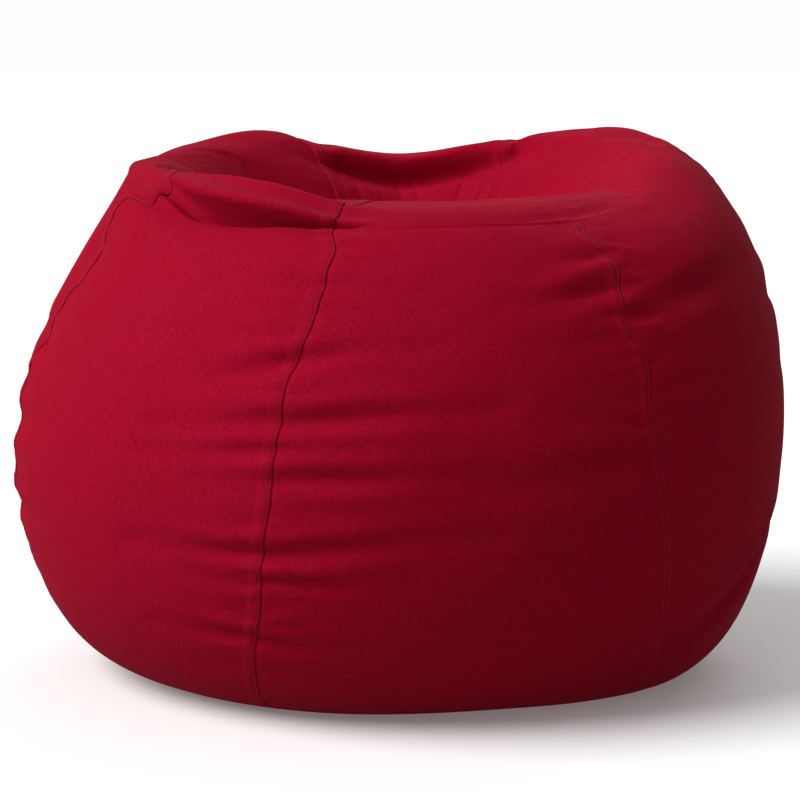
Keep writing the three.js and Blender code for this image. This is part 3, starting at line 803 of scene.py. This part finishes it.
def panelSheet(index, puckers):
    n = clothGrid["perPanel"]
    start, end = rowOfStage(sewing["baseSeam"]), rowOfStage(sewing["crownSeam"]) + sewing["crownLap"]
    rows = panelRows(start, end)
    # width of the panel at each row, along the cloth
    coarse = coverAt(index * n + np.arange(n + 1)[:, None], rows[None])
    width = np.linalg.norm(np.diff(coarse, axis=0), axis=-1).sum(0)
    up = np.concatenate([[0], np.cumsum(np.linalg.norm(np.diff(coarse[n // 2], axis=0), axis=1))])
    leftEdge = np.array([-sewing["underlap"], -sewing["underlap"] / 2] + nearSeam[:9])
    rightEdge = np.array(nearSeam[::-1])
    middle = int((width.max() - sewing["margin"]) / sewing["columnStep"])
    share = np.linspace(0, 1, middle + 1)[1:-1]
    across = np.concatenate([
        np.repeat(leftEdge[:, None], len(rows), 1),
        leftEdge[-1] + share[:, None] * (width[None] - rightEdge[0] - leftEdge[-1]),
        width[None] - rightEdge[:, None],
    ])
    column = index * n + across / width[None] * n
    points = coverAt(column, rows[None])
    normal = gridNormals(points, False)
    fromRight = width[None] - across
    fromLeft = np.maximum(across, 0)
    fade = np.clip((width[None] / sewing["narrow"]) ** 1.5, 0, 1)
    fade = fade * np.sqrt(np.clip((up[-1] - up[None]) / sewing["topFade"], 0, 1))
    shift = puckerShift(puckers[index], "right", fromLeft, up[None]) * fade
    shift += puckerShift(puckers[(index + 1) % 6], "left", fromRight, up[None]) * fade
    shift += stripShift(fromRight)
    shift -= sewing["tuck"] * (1 - np.clip((across - 0.5) / sewing["tuckOver"], 0, 1))
    points = points + normal * shift[..., None]
    uvs = np.stack([across - width[None] / 2, np.repeat(up[None], len(across), 0)], -1)
    sheet = sheetFrom(panelNames[index] + "_cloth", points, sewing["cloth"], uvs=uvs)
    return sheet, {"across": across, "up": up, "points": points, "normal": normal, "width": width}


def finishPiece(piece, material, body, slotName, *nodes):
    # a material of None: the piece has its own already
    if material:
        piece.data.materials.append(material)
    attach(piece, body)
    if nodes:
        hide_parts(*nodes)


rowLength = clothGrid["rowUnit"] * len(stages)
puckers = [seamPuckers(k, rowLength) for k in range(6)]
twill = twillMaterial(twillCloth)
panelData = []
for index, panelName in enumerate(panelNames):
    sheet, data = panelSheet(index, puckers)
    panelData.append(data)
    finishPiece(sheet, twill, "bag", "cotton_twill", panelName)


# ---------- stitches

def addSocket(tree, name, kind, value=None):
    socket = tree.interface.new_socket(name=name, in_out="INPUT", socket_type=kind)
    if value is not None:
        socket.default_value = value
    return socket.identifier


def rowTree(name, sockets, placePieces):
    # a row of pieces along a path: the sockets give names, kinds and values, placePieces the instances
    tree = bpy.data.node_groups.new(name, "GeometryNodeTree")
    names = {label: addSocket(tree, label, "NodeSocket" + kind, value) for label, kind, value in sockets}
    tree.interface.new_socket(name="Row", in_out="OUTPUT", socket_type="NodeSocketGeometry")
    given = addNode(tree, "NodeGroupInput")
    curve = addNode(tree, "GeometryNodeMeshToCurve", None, {"Mesh": given.outputs["Path"]})
    spaced = addNode(tree, "GeometryNodeResampleCurve", {"mode": "LENGTH"},
                     {"Curve": curve.outputs[0], "Length": given.outputs["Pitch"]})
    placed = addNode(tree, "GeometryNodeInstanceOnPoints", None,
                     {"Points": spaced.outputs[0], **placePieces(tree, given)})
    real = addNode(tree, "GeometryNodeRealizeInstances", None, {"Geometry": placed.outputs[0]})
    done = addNode(tree, "GeometryNodeSetMaterial", None,
                   {"Geometry": real.outputs[0], "Material": given.outputs["Material"]})
    addNode(tree, "NodeGroupOutput", None, {"Row": done.outputs[0]})
    return tree, names


def placeStitches(tree, given):
    # a small ball drawn out to a stitch, turned along the path, each a little different
    ball = addNode(tree, "GeometryNodeMeshUVSphere", {"Segments": 6, "Rings": 4, "Radius": 0.5})
    size = addNode(tree, "ShaderNodeCombineXYZ", None, {
        "X": given.outputs["Thread"], "Y": given.outputs["Thread"], "Z": given.outputs["Length"]})
    stitch = addNode(tree, "GeometryNodeTransform", None,
                     {"Geometry": ball.outputs[0], "Scale": size.outputs[0]})
    tangent = addNode(tree, "GeometryNodeInputTangent")
    turn = addNode(tree, "FunctionNodeAlignRotationToVector", {"axis": "Z"}, {"Vector": tangent.outputs[0]})
    uneven = addNode(tree, "FunctionNodeRandomValue", {"data_type": "FLOAT", 2: 0.9, 3: 1.08, "Seed": 11})
    return {"Instance": stitch.outputs[0], "Rotation": turn.outputs[0], "Scale": uneven.outputs[1]}


def bakeTree(name, source, tree, values):
    # runs a geometry nodes tree on the source, keeps the result as a plain mesh and drops the source
    modifier = source.modifiers.new("nodes", "NODES")
    modifier.node_group = tree
    for identifier, value in values.items():
        modifier[identifier] = value
    done = source.evaluated_get(bpy.context.evaluated_depsgraph_get())
    mesh = bpy.data.meshes.new_from_object(done)
    source.modifiers.remove(modifier)
    bpy.data.objects.remove(source)
    mesh.name = name
    mesh.polygons.foreach_set("use_smooth", [True] * len(mesh.polygons))
    return addObject(name, mesh)


def pathMesh(name, paths, loops=False):
    verts, edges = [], []
    for path in paths:
        first = len(verts)
        verts += [tuple(p) for p in np.asarray(path) * mm]
        edges += [(first + i, first + i + 1) for i in range(len(path) - 1)]
        if loops:
            edges.append((len(verts) - 1, first))
    mesh = bpy.data.meshes.new(name)
    mesh.from_pydata(verts, edges, [])
    return addObject(name, mesh)


stitchNodes, stitchNames = rowTree("stitches", [
    ("Path", "Geometry", None), ("Pitch", "Float", 0.003), ("Length", "Float", 0.0023),
    ("Thread", "Float", 0.0005), ("Material", "Material", None)], placeStitches)
threadMaterial = plainMaterial("polyester thread, spun", "#930722", 0.55, grain=0.35, bumpHeight=0.06)


def sewLines(name, paths, loops=False):
    values = {stitchNames[key.title()]: stitching[key] * mm for key in ("pitch", "length", "thread")}
    values[stitchNames["Material"]] = threadMaterial
    piece = bakeTree(name, pathMesh(name + "Path", paths, loops), stitchNodes, values)
    finishPiece(piece, None, "bag", "sewing_thread")


def panelLine(data, fromSeam):
    # a line on the panel at a fixed distance from its right seam
    right = data["width"][None] - data["across"]
    near = right[:, 0]
    order = np.argsort(near)
    index = np.interp(fromSeam, near[order], np.arange(len(order)))
    low = int(index)
    share = index - low
    a, b = order[low], order[min(low + 1, len(order) - 1)]
    points = data["points"][a] * (1 - share) + data["points"][b] * share
    normal = data["normal"][a]
    return points + normal * stitching["sink"]


seamRows = [panelLine(data, line) for data in panelData for line in stitching["lines"]]
sewLines("panel_stitching", [row[1:-3] for row in seamRows])
print("panel stitching ready")


# ---------- crown patch

crown = {
    "overlap": 3.0,
    "raise": 1.25,
    "edge": 1.2,  # mm over which it rises at its rim
    "ringStep": 2.4,
    "columns": 264,
    "last": 3.965,  # stage of the last ring, round the middle point
    "stitchInset": 2.4,
    "dip": 0.4,
    "crease": 0.5,  # a few soft creases in the flat middle
    "creaseSize": 14,
    "creaseFrom": 25,  # mm from the rim to their whole height
}


def crownGrid():
    n = crown["columns"]
    edge = rowOfStage(sewing["crownSeam"]) - crown["overlap"] / clothGrid["rowUnit"]
    last = rowOfStage(crown["last"])
    rows = np.linspace(edge, last, int((last - edge) * clothGrid["rowUnit"] / crown["ringStep"]) + 1)
    column = np.arange(n) / n * len(panelColumns)
    points = coverAt(column[:, None], rows[None])
    normal = gridNormals(points, True)
    middle = points[:, -1].mean(0)
    reach = np.linalg.norm(points - middle, axis=-1)
    fromEdge = reach[:, :1] - reach
    lift = crown["raise"] * np.clip(fromEdge / crown["edge"], 0.5, 1)
    lift = lift - crown["dip"] * np.exp(-((fromEdge - crown["stitchInset"]) / stitching["dipWidth"]) ** 2)
    turn = np.arctan2(points[..., 0] - middle[0], points[..., 1] - middle[1])
    crease = np.sin(3 * turn + 1) * np.sin(reach / crown["creaseSize"])
    lift = lift + crown["crease"] * crease * np.clip(fromEdge / crown["creaseFrom"], 0, 1)
    return points + normal * lift[..., None], normal, fromEdge


crownPoints, crownNormal, crownFromEdge = crownGrid()
crownPatch = sheetFrom("crown_patch_cloth", crownPoints, sewing["cloth"], True, True)
finishPiece(crownPatch, twill, "bag", "cotton_twill", "crown_patch")
ring = np.array([[np.interp(crown["stitchInset"], crownFromEdge[c], crownPoints[c, :, k]) for k in range(3)]
                 for c in range(crown["columns"])])
sewLines("crown_stitching", [ring + crownNormal[:, 1] * stitching["sink"]], True)
print("crown patch ready")


# ---------- base: two halves with the zip between them in a shallow tray

tray = {
    "halfLength": 226, "halfWidth": 36, "ramp": 14, "height": 8,
    "slotHalf": 8.0, "slotEnd": 200, "gap": 0.15,
    "tuck": 1.25,  # the base's edge lies this far inside the side panels
    "tuckRows": 6,  # of the last rows
    "columns": 201,
    "flatRows": 54,
    "curveRows": 13,
    "crowding": 0.85,  # below 1 the flat rows crowd together by the outer edge
    "lap": 0.02,  # stage, how far the base goes on under the side panels
    "ends": 2,  # mm from the base's edge to the ends of the zip line
    "slotRamp": 4,
}


def trayRise(x, y):
    along = smoothStep((tray["halfLength"] - np.abs(x)) / tray["ramp"])
    across = smoothStep((tray["halfWidth"] - np.abs(y)) / tray["ramp"])
    return tray["height"] * along * across


def baseHalf(side):
    # side -1 is the front half, 1 the back half
    t = np.linspace(-1, 1, tray["columns"])
    x = (bag["baseRadius"] - tray["ends"]) * t
    opened = smoothStep((tray["slotEnd"] - np.abs(x)) / tray["slotRamp"])
    slot = tray["gap"] + (tray["slotHalf"] - tray["gap"]) * opened
    inner = np.stack([x, side * slot], -1)
    turn = t * 90 if side < 0 else 180 - t * 90
    panel = np.interp(turn, baseTurns, finePanels, period=360)
    outer = coverAt(panel * clothGrid["perPanel"], 0)[:, :2]
    outer[[0, -1], 1] = side * tray["gap"]
    share = (np.linspace(0, 1, tray["flatRows"]) ** tray["crowding"])[None, :, None]
    flat = inner[:, None] * (1 - share) + outer[:, None] * share
    height = trayRise(flat[..., 0], flat[..., 1])
    flat = np.concatenate([flat, height[..., None]], -1)
    rows = np.linspace(0, rowOfStage(sewing["baseSeam"] + tray["lap"]), tray["curveRows"] + 1)[1:]
    curve = coverAt(panel[:, None] * clothGrid["perPanel"], rows[None])
    curve[[0, -1], :, 1] = side * tray["gap"]
    points = np.concatenate([flat, curve], 1)
    points[..., 2] = np.maximum(points[..., 2], 0)
    if side > 0:
        points = points[::-1]
    normal = gridNormals(points, False)
    lastRows = np.arange(points.shape[1]) - (points.shape[1] - tray["tuckRows"])
    tuck = tray["tuck"] * smoothStep(lastRows / 3)
    return points - normal * tuck[None, :, None]


# panel number and angle at the base edge, for one whole turn
finePanels = np.linspace(0, 6, 721)
baseTurns = seamLine(finePanels, "base")

for side, nodeName in ((-1, "base_panel_front"), (1, "base_panel_back")):
    grid = baseHalf(side)
    half = sheetFrom(nodeName + "_cloth", grid, sewing["cloth"])
    finishPiece(half, twill, "bag", "cotton_twill", nodeName)
    print(nodeName, "ready")


# ---------- zips: tapes, teeth, stops, slider and pull

zipLook = {
    "toothPitch": 2.4,
    "toothShare": 0.42,  # of the pitch that one tooth fills
    "bevel": 0.22,
    "tapeHem": 0.35,  # how far the tape swells at the teeth
    "tapeHemWidth": 1.1,
    "tapeWave": 0.12,
    "tapeRib": 0.9,  # mm from one rib of the weave to the next
    "ribHeight": 0.08,
    "stopBevel": 0.5,
    "castBevel": 0.16,
    "castEdge": 35,  # degrees, sharper edges than this are rounded
}


def nodeBox(name):
    low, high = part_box(name)
    return np.array(low) / mm, np.array(high) / mm


def blockMesh(name, low, high, bevel, segments=2):
    # a box with rounded edges, corners in millimetres
    shape = bmesh.new()
    bmesh.ops.create_cube(shape, size=1)
    low, high = np.asarray(low) * mm, np.asarray(high) * mm
    bmesh.ops.scale(shape, vec=Vector(high - low), verts=shape.verts)
    bmesh.ops.translate(shape, vec=Vector((high + low) / 2), verts=shape.verts)
    bmesh.ops.bevel(shape, geom=shape.edges[:], offset=bevel * mm, segments=segments, profile=0.6,
                    affect="EDGES")
    mesh = bpy.data.meshes.new(name)
    shape.to_mesh(mesh)
    shape.free()
    return addObject(name, mesh)


def placeTeeth(tree, given):
    tooth = addNode(tree, "GeometryNodeObjectInfo", None, {"Object": given.outputs["Tooth"]})
    return {"Instance": tooth.outputs["Geometry"]}


toothNodes, toothNames = rowTree("zipTeeth", [
    ("Path", "Geometry", None), ("Pitch", "Float", 0.0024), ("Tooth", "Object", None),
    ("Material", "Material", None)], placeTeeth)


def tapeMaterial(name, colour):
    # woven polyester tape: fine ribs across it, slightly shiny along the yarn
    material, tree, shader = newMaterial(name, {"Base Color": linear(colour), "Roughness": 0.75})
    place = addNode(tree, "ShaderNodeTexCoord")
    ribs = addNode(tree, "ShaderNodeTexWave", {
        "bands_direction": "X", "Scale": waveUnit / (zipLook["tapeRib"] * mm),
        "Distortion": 0.6, "Detail": 1.0,
    }, {"Vector": place.outputs["Object"]})
    bump = addNode(tree, "ShaderNodeBump", {"Strength": 0.4, "Distance": zipLook["ribHeight"] * mm},
                   {"Height": ribs.outputs[0]})
    tree.links.new(bump.outputs[0], shader.inputs["Normal"])
    return material


redTape = tapeMaterial("polyester zip tape, woven and dyed", "#7d0a20")
paleTape = tapeMaterial("polyester zip tape, woven", "#e4e1da")
redTeeth = plainMaterial("acetal, moulded, red", "#80101f", 0.35, grain=1.5, bumpHeight=0.02)
paleTeeth = plainMaterial("acetal, moulded, natural", "#e6e2d8", 0.35, grain=1.5, bumpHeight=0.02)
nickel = plainMaterial("zinc alloy, die cast and nickel plated", "#b9b8b4", 0.28, 1.0, 0.9, 0.015)


def toothRow(zipName, side, material):
    low, high = nodeBox(f"{zipName}_teeth_{side}")
    wide = zipLook["toothPitch"] * zipLook["toothShare"]
    middle = (low[2] + high[2]) / 2
    tall = (high[2] - low[2]) / 2
    body = blockMesh("tooth", (-wide, low[1], -tall), (wide, high[1], tall), zipLook["bevel"])
    path = pathMesh("toothPath", [[(low[0] + wide, 0, middle), (high[0] - wide, 0, middle)]])
    values = {toothNames["Pitch"]: zipLook["toothPitch"] * mm, toothNames["Tooth"]: body,
              toothNames["Material"]: material}
    row = bakeTree(f"{zipName}_tooth_row_{side}", path, toothNodes, values)
    bpy.data.objects.remove(body)
    return row


def flatGrid(low, high, columns, rows):
    # a level grid over the box; x and y are also given by themselves
    x = np.linspace(low[0], high[0], columns)[:, None]
    y = np.linspace(high[1], low[1], rows)[None]
    return np.stack([x + 0 * y, y + 0 * x, np.full((columns, rows), low[2])], -1), x, y


def tapeStrip(zipName, side):
    # thin strip, a little thicker along the edge that carries the teeth, gently waved along its length
    low, high = nodeBox(f"{zipName}_tape_{side}")
    grid, x, y = flatGrid(low, high, 161, 15)
    toTeeth = np.abs(y - (low[1] if side == "back" else high[1]))
    hem = zipLook["tapeHem"] * np.exp(-(toTeeth / zipLook["tapeHemWidth"]) ** 2)
    wave = zipLook["tapeWave"] * np.sin(x / 21) * np.clip(toTeeth / 8, 0, 1)
    grid[..., 2] += 0.1 - hem / 2 + wave
    return sheetFrom(f"{zipName}_tape_strip_{side}", grid, high[2] - low[2])


def roundedCopy(nodeName, name):
    # the node's own shape with its edges rounded, as a casting has them
    shape = bmesh.new()
    shape.from_mesh(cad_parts[nodeName].data)
    bmesh.ops.remove_doubles(shape, verts=shape.verts, dist=1e-6)
    bmesh.ops.dissolve_limit(shape, angle_limit=math.radians(2), verts=shape.verts, edges=shape.edges)
    edge = math.radians(zipLook["castEdge"])
    sharp = [e for e in shape.edges if len(e.link_faces) == 2 and e.calc_face_angle() > edge]
    bmesh.ops.bevel(shape, geom=sharp, offset=zipLook["castBevel"] * mm, segments=2, profile=0.6,
                    affect="EDGES", clamp_overlap=True)
    mesh = bpy.data.meshes.new(name)
    shape.to_mesh(mesh)
    shape.free()
    return addObject(name, mesh)


def makeZip(zipName, tape, teeth, slots):
    tapeSlot, teethSlot, metalSlot = slots
    for side in ("front", "back"):
        strip = tapeStrip(zipName, side)
        finishPiece(strip, tape, "bag", tapeSlot, f"{zipName}_tape_{side}")
        finishPiece(toothRow(zipName, side, teeth), None, "bag", teethSlot, f"{zipName}_teeth_{side}")
    for stop in ("closed_stop_front", "closed_stop_back", "open_stop"):
        block = blockMesh(f"{zipName}_{stop}_block", *nodeBox(f"{zipName}_{stop}"), zipLook["stopBevel"], 3)
        finishPiece(block, teeth, "bag", teethSlot, f"{zipName}_{stop}")
    for part in ("slider", "pull"):
        casting = roundedCopy(f"{zipName}_{part}", f"{zipName}_{part}_casting")
        finishPiece(casting, nickel, f"{zipName}_{part}", metalSlot, f"{zipName}_{part}")
    print(zipName, "ready")


makeZip("cover_zip", redTape, redTeeth, ("zip_tape", "zip_teeth", "zip_metal"))


# ---------- liner, zip guard, care label and beads inside the cover

linerLook = {
    "inset": 3.1,  # from the outside of the cover
    "creaseWider": (3, 0.05),  # degrees and stages by which it gives a crease more room
    "creaseRoom": 34,  # mm, the most that it stays away from a crease of the cover
    "cloth": 0.5,
    "columns": 2,  # the cover's columns per column of the liner
    "rowStep": 9,
    "crinkle": 0.35,
    "crinkleRows": 12,  # rows over which the crinkle fades at its ends
    "wallFlat": (2400, 1250, 1.47e6),  # round the belly, height along the cloth, area
    "crownStep": 6,
    "crownLap": 4,
    "crownBelow": 1.3,
    "slotMargin": 5,
    "discGap": 0.8,
    "discColumns": 240,
    "discRows": 24,
    "discSeam": 10,
}
linerCloth = plainMaterial("polypropylene cloth, spun and bonded", "#e9e6df", 0.85, grain=0.8,
                           bumpHeight=0.08)
labelCloth = plainMaterial("nylon taffeta label, woven", "#f2f0ea", 0.6, grain=0.4, bumpHeight=0.04)


def insideGrid(inset, columnStep, rowStep, floorHeight, lastStage):
    # the cover's own grid moved in, and further in behind its creases
    column = np.arange(0, len(panelColumns), columnStep)
    last = rowOfStage(lastStage)
    rows = np.linspace(0, last, int(last * clothGrid["rowUnit"] / rowStep) + 1)
    points = coverAt(column[:, None], rows[None], False)
    stage = np.interp(rows, np.arange(len(stages)), stages)[None]
    angle = columnAngle(column[:, None] / clothGrid["perPanel"], stage)
    moreRound, moreTall = linerLook["creaseWider"]
    wider = [(at, middle, spread + moreRound, tall + moreTall, 0, abs(out) + abs(up), slant)
             for at, middle, spread, tall, out, up, slant in creases]
    deeper = np.linalg.norm(dentShift(wider, angle, stage), axis=-1)
    deeper = inset + np.minimum(deeper, linerLook["creaseRoom"])
    points = points - gridNormals(points, True) * deeper[..., None]
    points[..., 2] = np.maximum(points[..., 2], floorHeight)
    return points


def linerPiece(name, grid, node, pointed=False):
    piece = sheetFrom(name, grid, linerLook["cloth"], True, pointed)
    finishPiece(piece, linerCloth, "bag", "liner_cloth", node)


def linerWall():
    low = nodeBox("liner_bag")[0][2]
    look = linerLook
    grid = insideGrid(look["inset"], look["columns"], look["rowStep"], low, sewing["crownSeam"])
    turn = np.arange(grid.shape[0])[:, None] / grid.shape[0] * 2 * math.pi
    rows = np.arange(grid.shape[1])[None]
    crinkle = look["crinkle"] * np.sin(23 * turn + rows / 3.1) * np.sin(rows / 2.3 + 5 * np.sin(3 * turn))
    crinkle = crinkle * np.clip(rows / look["crinkleRows"], 0, 1)
    crinkle = crinkle * np.clip((grid.shape[1] - rows) / look["crinkleRows"], 0, 1)
    grid = grid - gridNormals(grid, True) * (crinkle[..., None] + look["crinkle"])
    grid[..., 2] = np.maximum(grid[..., 2], low)
    linerPiece("liner_wall", grid, "liner_bag")


def linerCrown():
    cap = insideGrid(linerLook["inset"], linerLook["columns"], linerLook["crownStep"], 0, crown["last"])
    reach = np.linalg.norm(cap - cap[:, -1].mean(0), axis=-1).mean(0)
    cap = cap[:, int(np.argmax(reach < bag["crownRadius"] + linerLook["crownLap"])):]
    cap = cap - gridNormals(cap, True) * linerLook["crownBelow"]
    linerPiece("liner_crown_disc", cap, "liner_crown", True)


def linerBase():
    # a disc with a slot for the zip; the slot has square ends, walked round in step with the disc's edge
    low, high = nodeBox("liner_base")
    front = nodeBox("liner_zip_teeth_front")[0][1]
    back = nodeBox("liner_zip_teeth_back")[1][1]
    halfSlot = (back - front) / 2 + linerLook["slotMargin"]
    slotEnd = nodeBox("liner_zip_closed_stop_back")[1][0]
    turn = np.linspace(0, 2 * math.pi, linerLook["discColumns"], endpoint=False)
    direct = np.stack([np.sin(turn), -np.cos(turn)], -1)
    reach = (np.array([slotEnd, halfSlot]) / np.maximum(np.abs(direct), 1e-6)).min(1)
    inner = direct * reach[:, None] + [0, (back + front) / 2]
    outer = direct * (high[0] - linerLook["discGap"])
    share = np.linspace(0, 1, linerLook["discRows"])[None, :, None]
    flat = outer[:, None] * (1 - share) + inner[:, None] * share
    grid = np.concatenate([flat, np.full(flat.shape[:2] + (1,), low[2])], -1)[:, ::-1]
    linerPiece("liner_base_disc", grid, "liner_base")


linerWall()
linerCrown()
linerBase()
makeZip("liner_zip", paleTape, paleTeeth, ("zip_tape", "liner_teeth", "zip_metal"))


guardLook = {"wave": 0.22, "lift": 0.25, "hemDrop": 0.2, "hem": 6, "hemAllowance": (2, 14)}
labelLook = {"curl": 1.6, "wave": 0.15, "sewnEdge": 1}


def guardStrip():
    # hemmed strip of the cover's cloth behind the zip, slightly waved
    low, high = nodeBox("zip_guard")
    grid, x, y = flatGrid(low, high, 213, 41)
    fromEdge = np.minimum(np.abs(y - low[1]), np.abs(y - high[1]))
    grid[..., 2] += guardLook["lift"] + guardLook["wave"] * np.sin(x / 17) * np.cos(y / 15)
    grid[..., 2] -= guardLook["hemDrop"] * (fromEdge < guardLook["hem"])
    strip = sheetFrom("zip_guard_cloth", grid, high[2] - low[2])
    finishPiece(strip, twill, "bag", "cotton_twill", "zip_guard")


def careLabel():
    # blank woven label, sewn down along one side and slightly curled at the other
    low, high = nodeBox("care_label")
    grid, x, y = flatGrid(low, high, 41, 25)
    loose = (y - low[1]) / (high[1] - low[1])
    grid[..., 2] += labelLook["curl"] * loose ** 2 + labelLook["wave"] * np.sin(x / 5) * loose
    label = sheetFrom("care_label_tape", grid, high[2] - low[2])
    finishPiece(label, labelCloth, "bag", "label_tape", "care_label")


guardStrip()
careLabel()

beadLook = {
    "inset": 5.7,
    "size": 6.0,  # mm, real beads are 3 to 6 across
    "bump": 0.7,
    "seed": 3,
    "rowStep": 8,
    "colour": "#f6f5f1",
    # painted shade for the gaps between beads, not a colour of the foam
    "paintedGapShade": "#b9b7b0",
    "depth": 2,  # mm, of the gaps between beads
}


def beadMaterial():
    # expanded polystyrene: matt white balls pressed together, with painted shade where they meet
    material, tree, shader = newMaterial("expanded polystyrene beads, steam blown", {"Roughness": 0.7})
    place = addNode(tree, "ShaderNodeTexCoord")
    cells = addNode(tree, "ShaderNodeTexVoronoi", {"Scale": 1 / (beadLook["size"] * mm)},
                    {"Vector": place.outputs["Object"]})
    ramp = addNode(tree, "ShaderNodeMapRange", {"From Min": 0.25, "From Max": 0.75},
                   {"Value": cells.outputs["Distance"]})
    # painted shade: the white turns to the grey gap colour towards each cell's edge, where beads meet
    shade = addNode(tree, "ShaderNodeMix",
                    {"data_type": "RGBA", 6: linear(beadLook["colour"]), 7: linear(beadLook["paintedGapShade"])},
                    {0: ramp.outputs[0]})
    bump = addNode(tree, "ShaderNodeBump",
                   {"invert": True, "Strength": 1.0, "Distance": beadLook["depth"] * mm},
                   {"Height": cells.outputs["Distance"]})
    tree.links.new(shade.outputs[2], shader.inputs["Base Color"])
    tree.links.new(bump.outputs[0], shader.inputs["Normal"])
    return material


def beadHeap():
    low = nodeBox("bead_fill")[0][2]
    grid = insideGrid(beadLook["inset"], 1, beadLook["rowStep"], low, crown["last"])
    rng = np.random.default_rng(beadLook["seed"])
    lumps = rng.uniform(0, beadLook["bump"], grid.shape[:2])
    grid = grid - gridNormals(grid, True) * lumps[..., None]
    grid[..., 2] = np.maximum(grid[..., 2], low)
    verts, faces = closedGrid(grid * mm)
    heap = meshFrom("bead_heap", verts, faces)
    finishPiece(heap, beadMaterial(), "bag", "foam_beads", "bead_fill")


beadHeap()
print("inside ready")


# ---------- floor, light and camera

def addFloor():
    half, low = studio["floorHalf"], -studio["floorBelow"]
    corners = [(x, y, low) for x, y in ((-half, -half), (half, -half), (half, half), (-half, half))]
    mesh = bpy.data.meshes.new("floor")
    mesh.from_pydata(corners, [], [(0, 1, 2, 3)])
    floor = addObject("floor", mesh)
    seen, bounced = linear(studio["floorColour"]), linear(studio["floorBounce"])
    material, tree, shader = newMaterial("studio floor, painted", {
        "Roughness": 0.8, "Emission Color": seen, "Emission Strength": studio["floorGlow"]})
    rays = addNode(tree, "ShaderNodeLightPath")
    paint = addNode(tree, "ShaderNodeMix", {"data_type": "RGBA", 6: bounced, 7: seen},
                    {0: rays.outputs["Is Camera Ray"]})
    tree.links.new(paint.outputs[2], shader.inputs["Base Color"])
    floor.data.materials.append(material)


def addRoom():
    # near-white surroundings behind the object, much weaker as a light on it
    world = bpy.data.worlds.new("room")
    bpy.context.scene.world = world
    world.use_nodes = True
    tree = world.node_tree
    tree.nodes.clear()
    output = tree.nodes.new("ShaderNodeOutputWorld")
    rays = addNode(tree, "ShaderNodeLightPath")
    dim = addNode(tree, "ShaderNodeBackground",
                  {"Strength": studio["roomStrength"], "Color": linear(studio["roomLight"])})
    seen = addNode(tree, "ShaderNodeBackground", {"Strength": 1.0, "Color": linear(studio["roomColour"])})
    either = addNode(tree, "ShaderNodeMixShader", None,
                     {0: rays.outputs["Is Camera Ray"], 1: dim.outputs[0], 2: seen.outputs[0]})
    tree.links.new(either.outputs[0], output.inputs["Surface"])


addFloor()
addRoom()
for lamp in ("key", "top", "back"):
    addSoftLight(lamp + "Light", studio[lamp + "From"], studio["spread"], studio[lamp + "Strength"])
addCamera(standardView)
bpy.context.scene.view_settings.view_transform = "Standard"

print("scene ready")
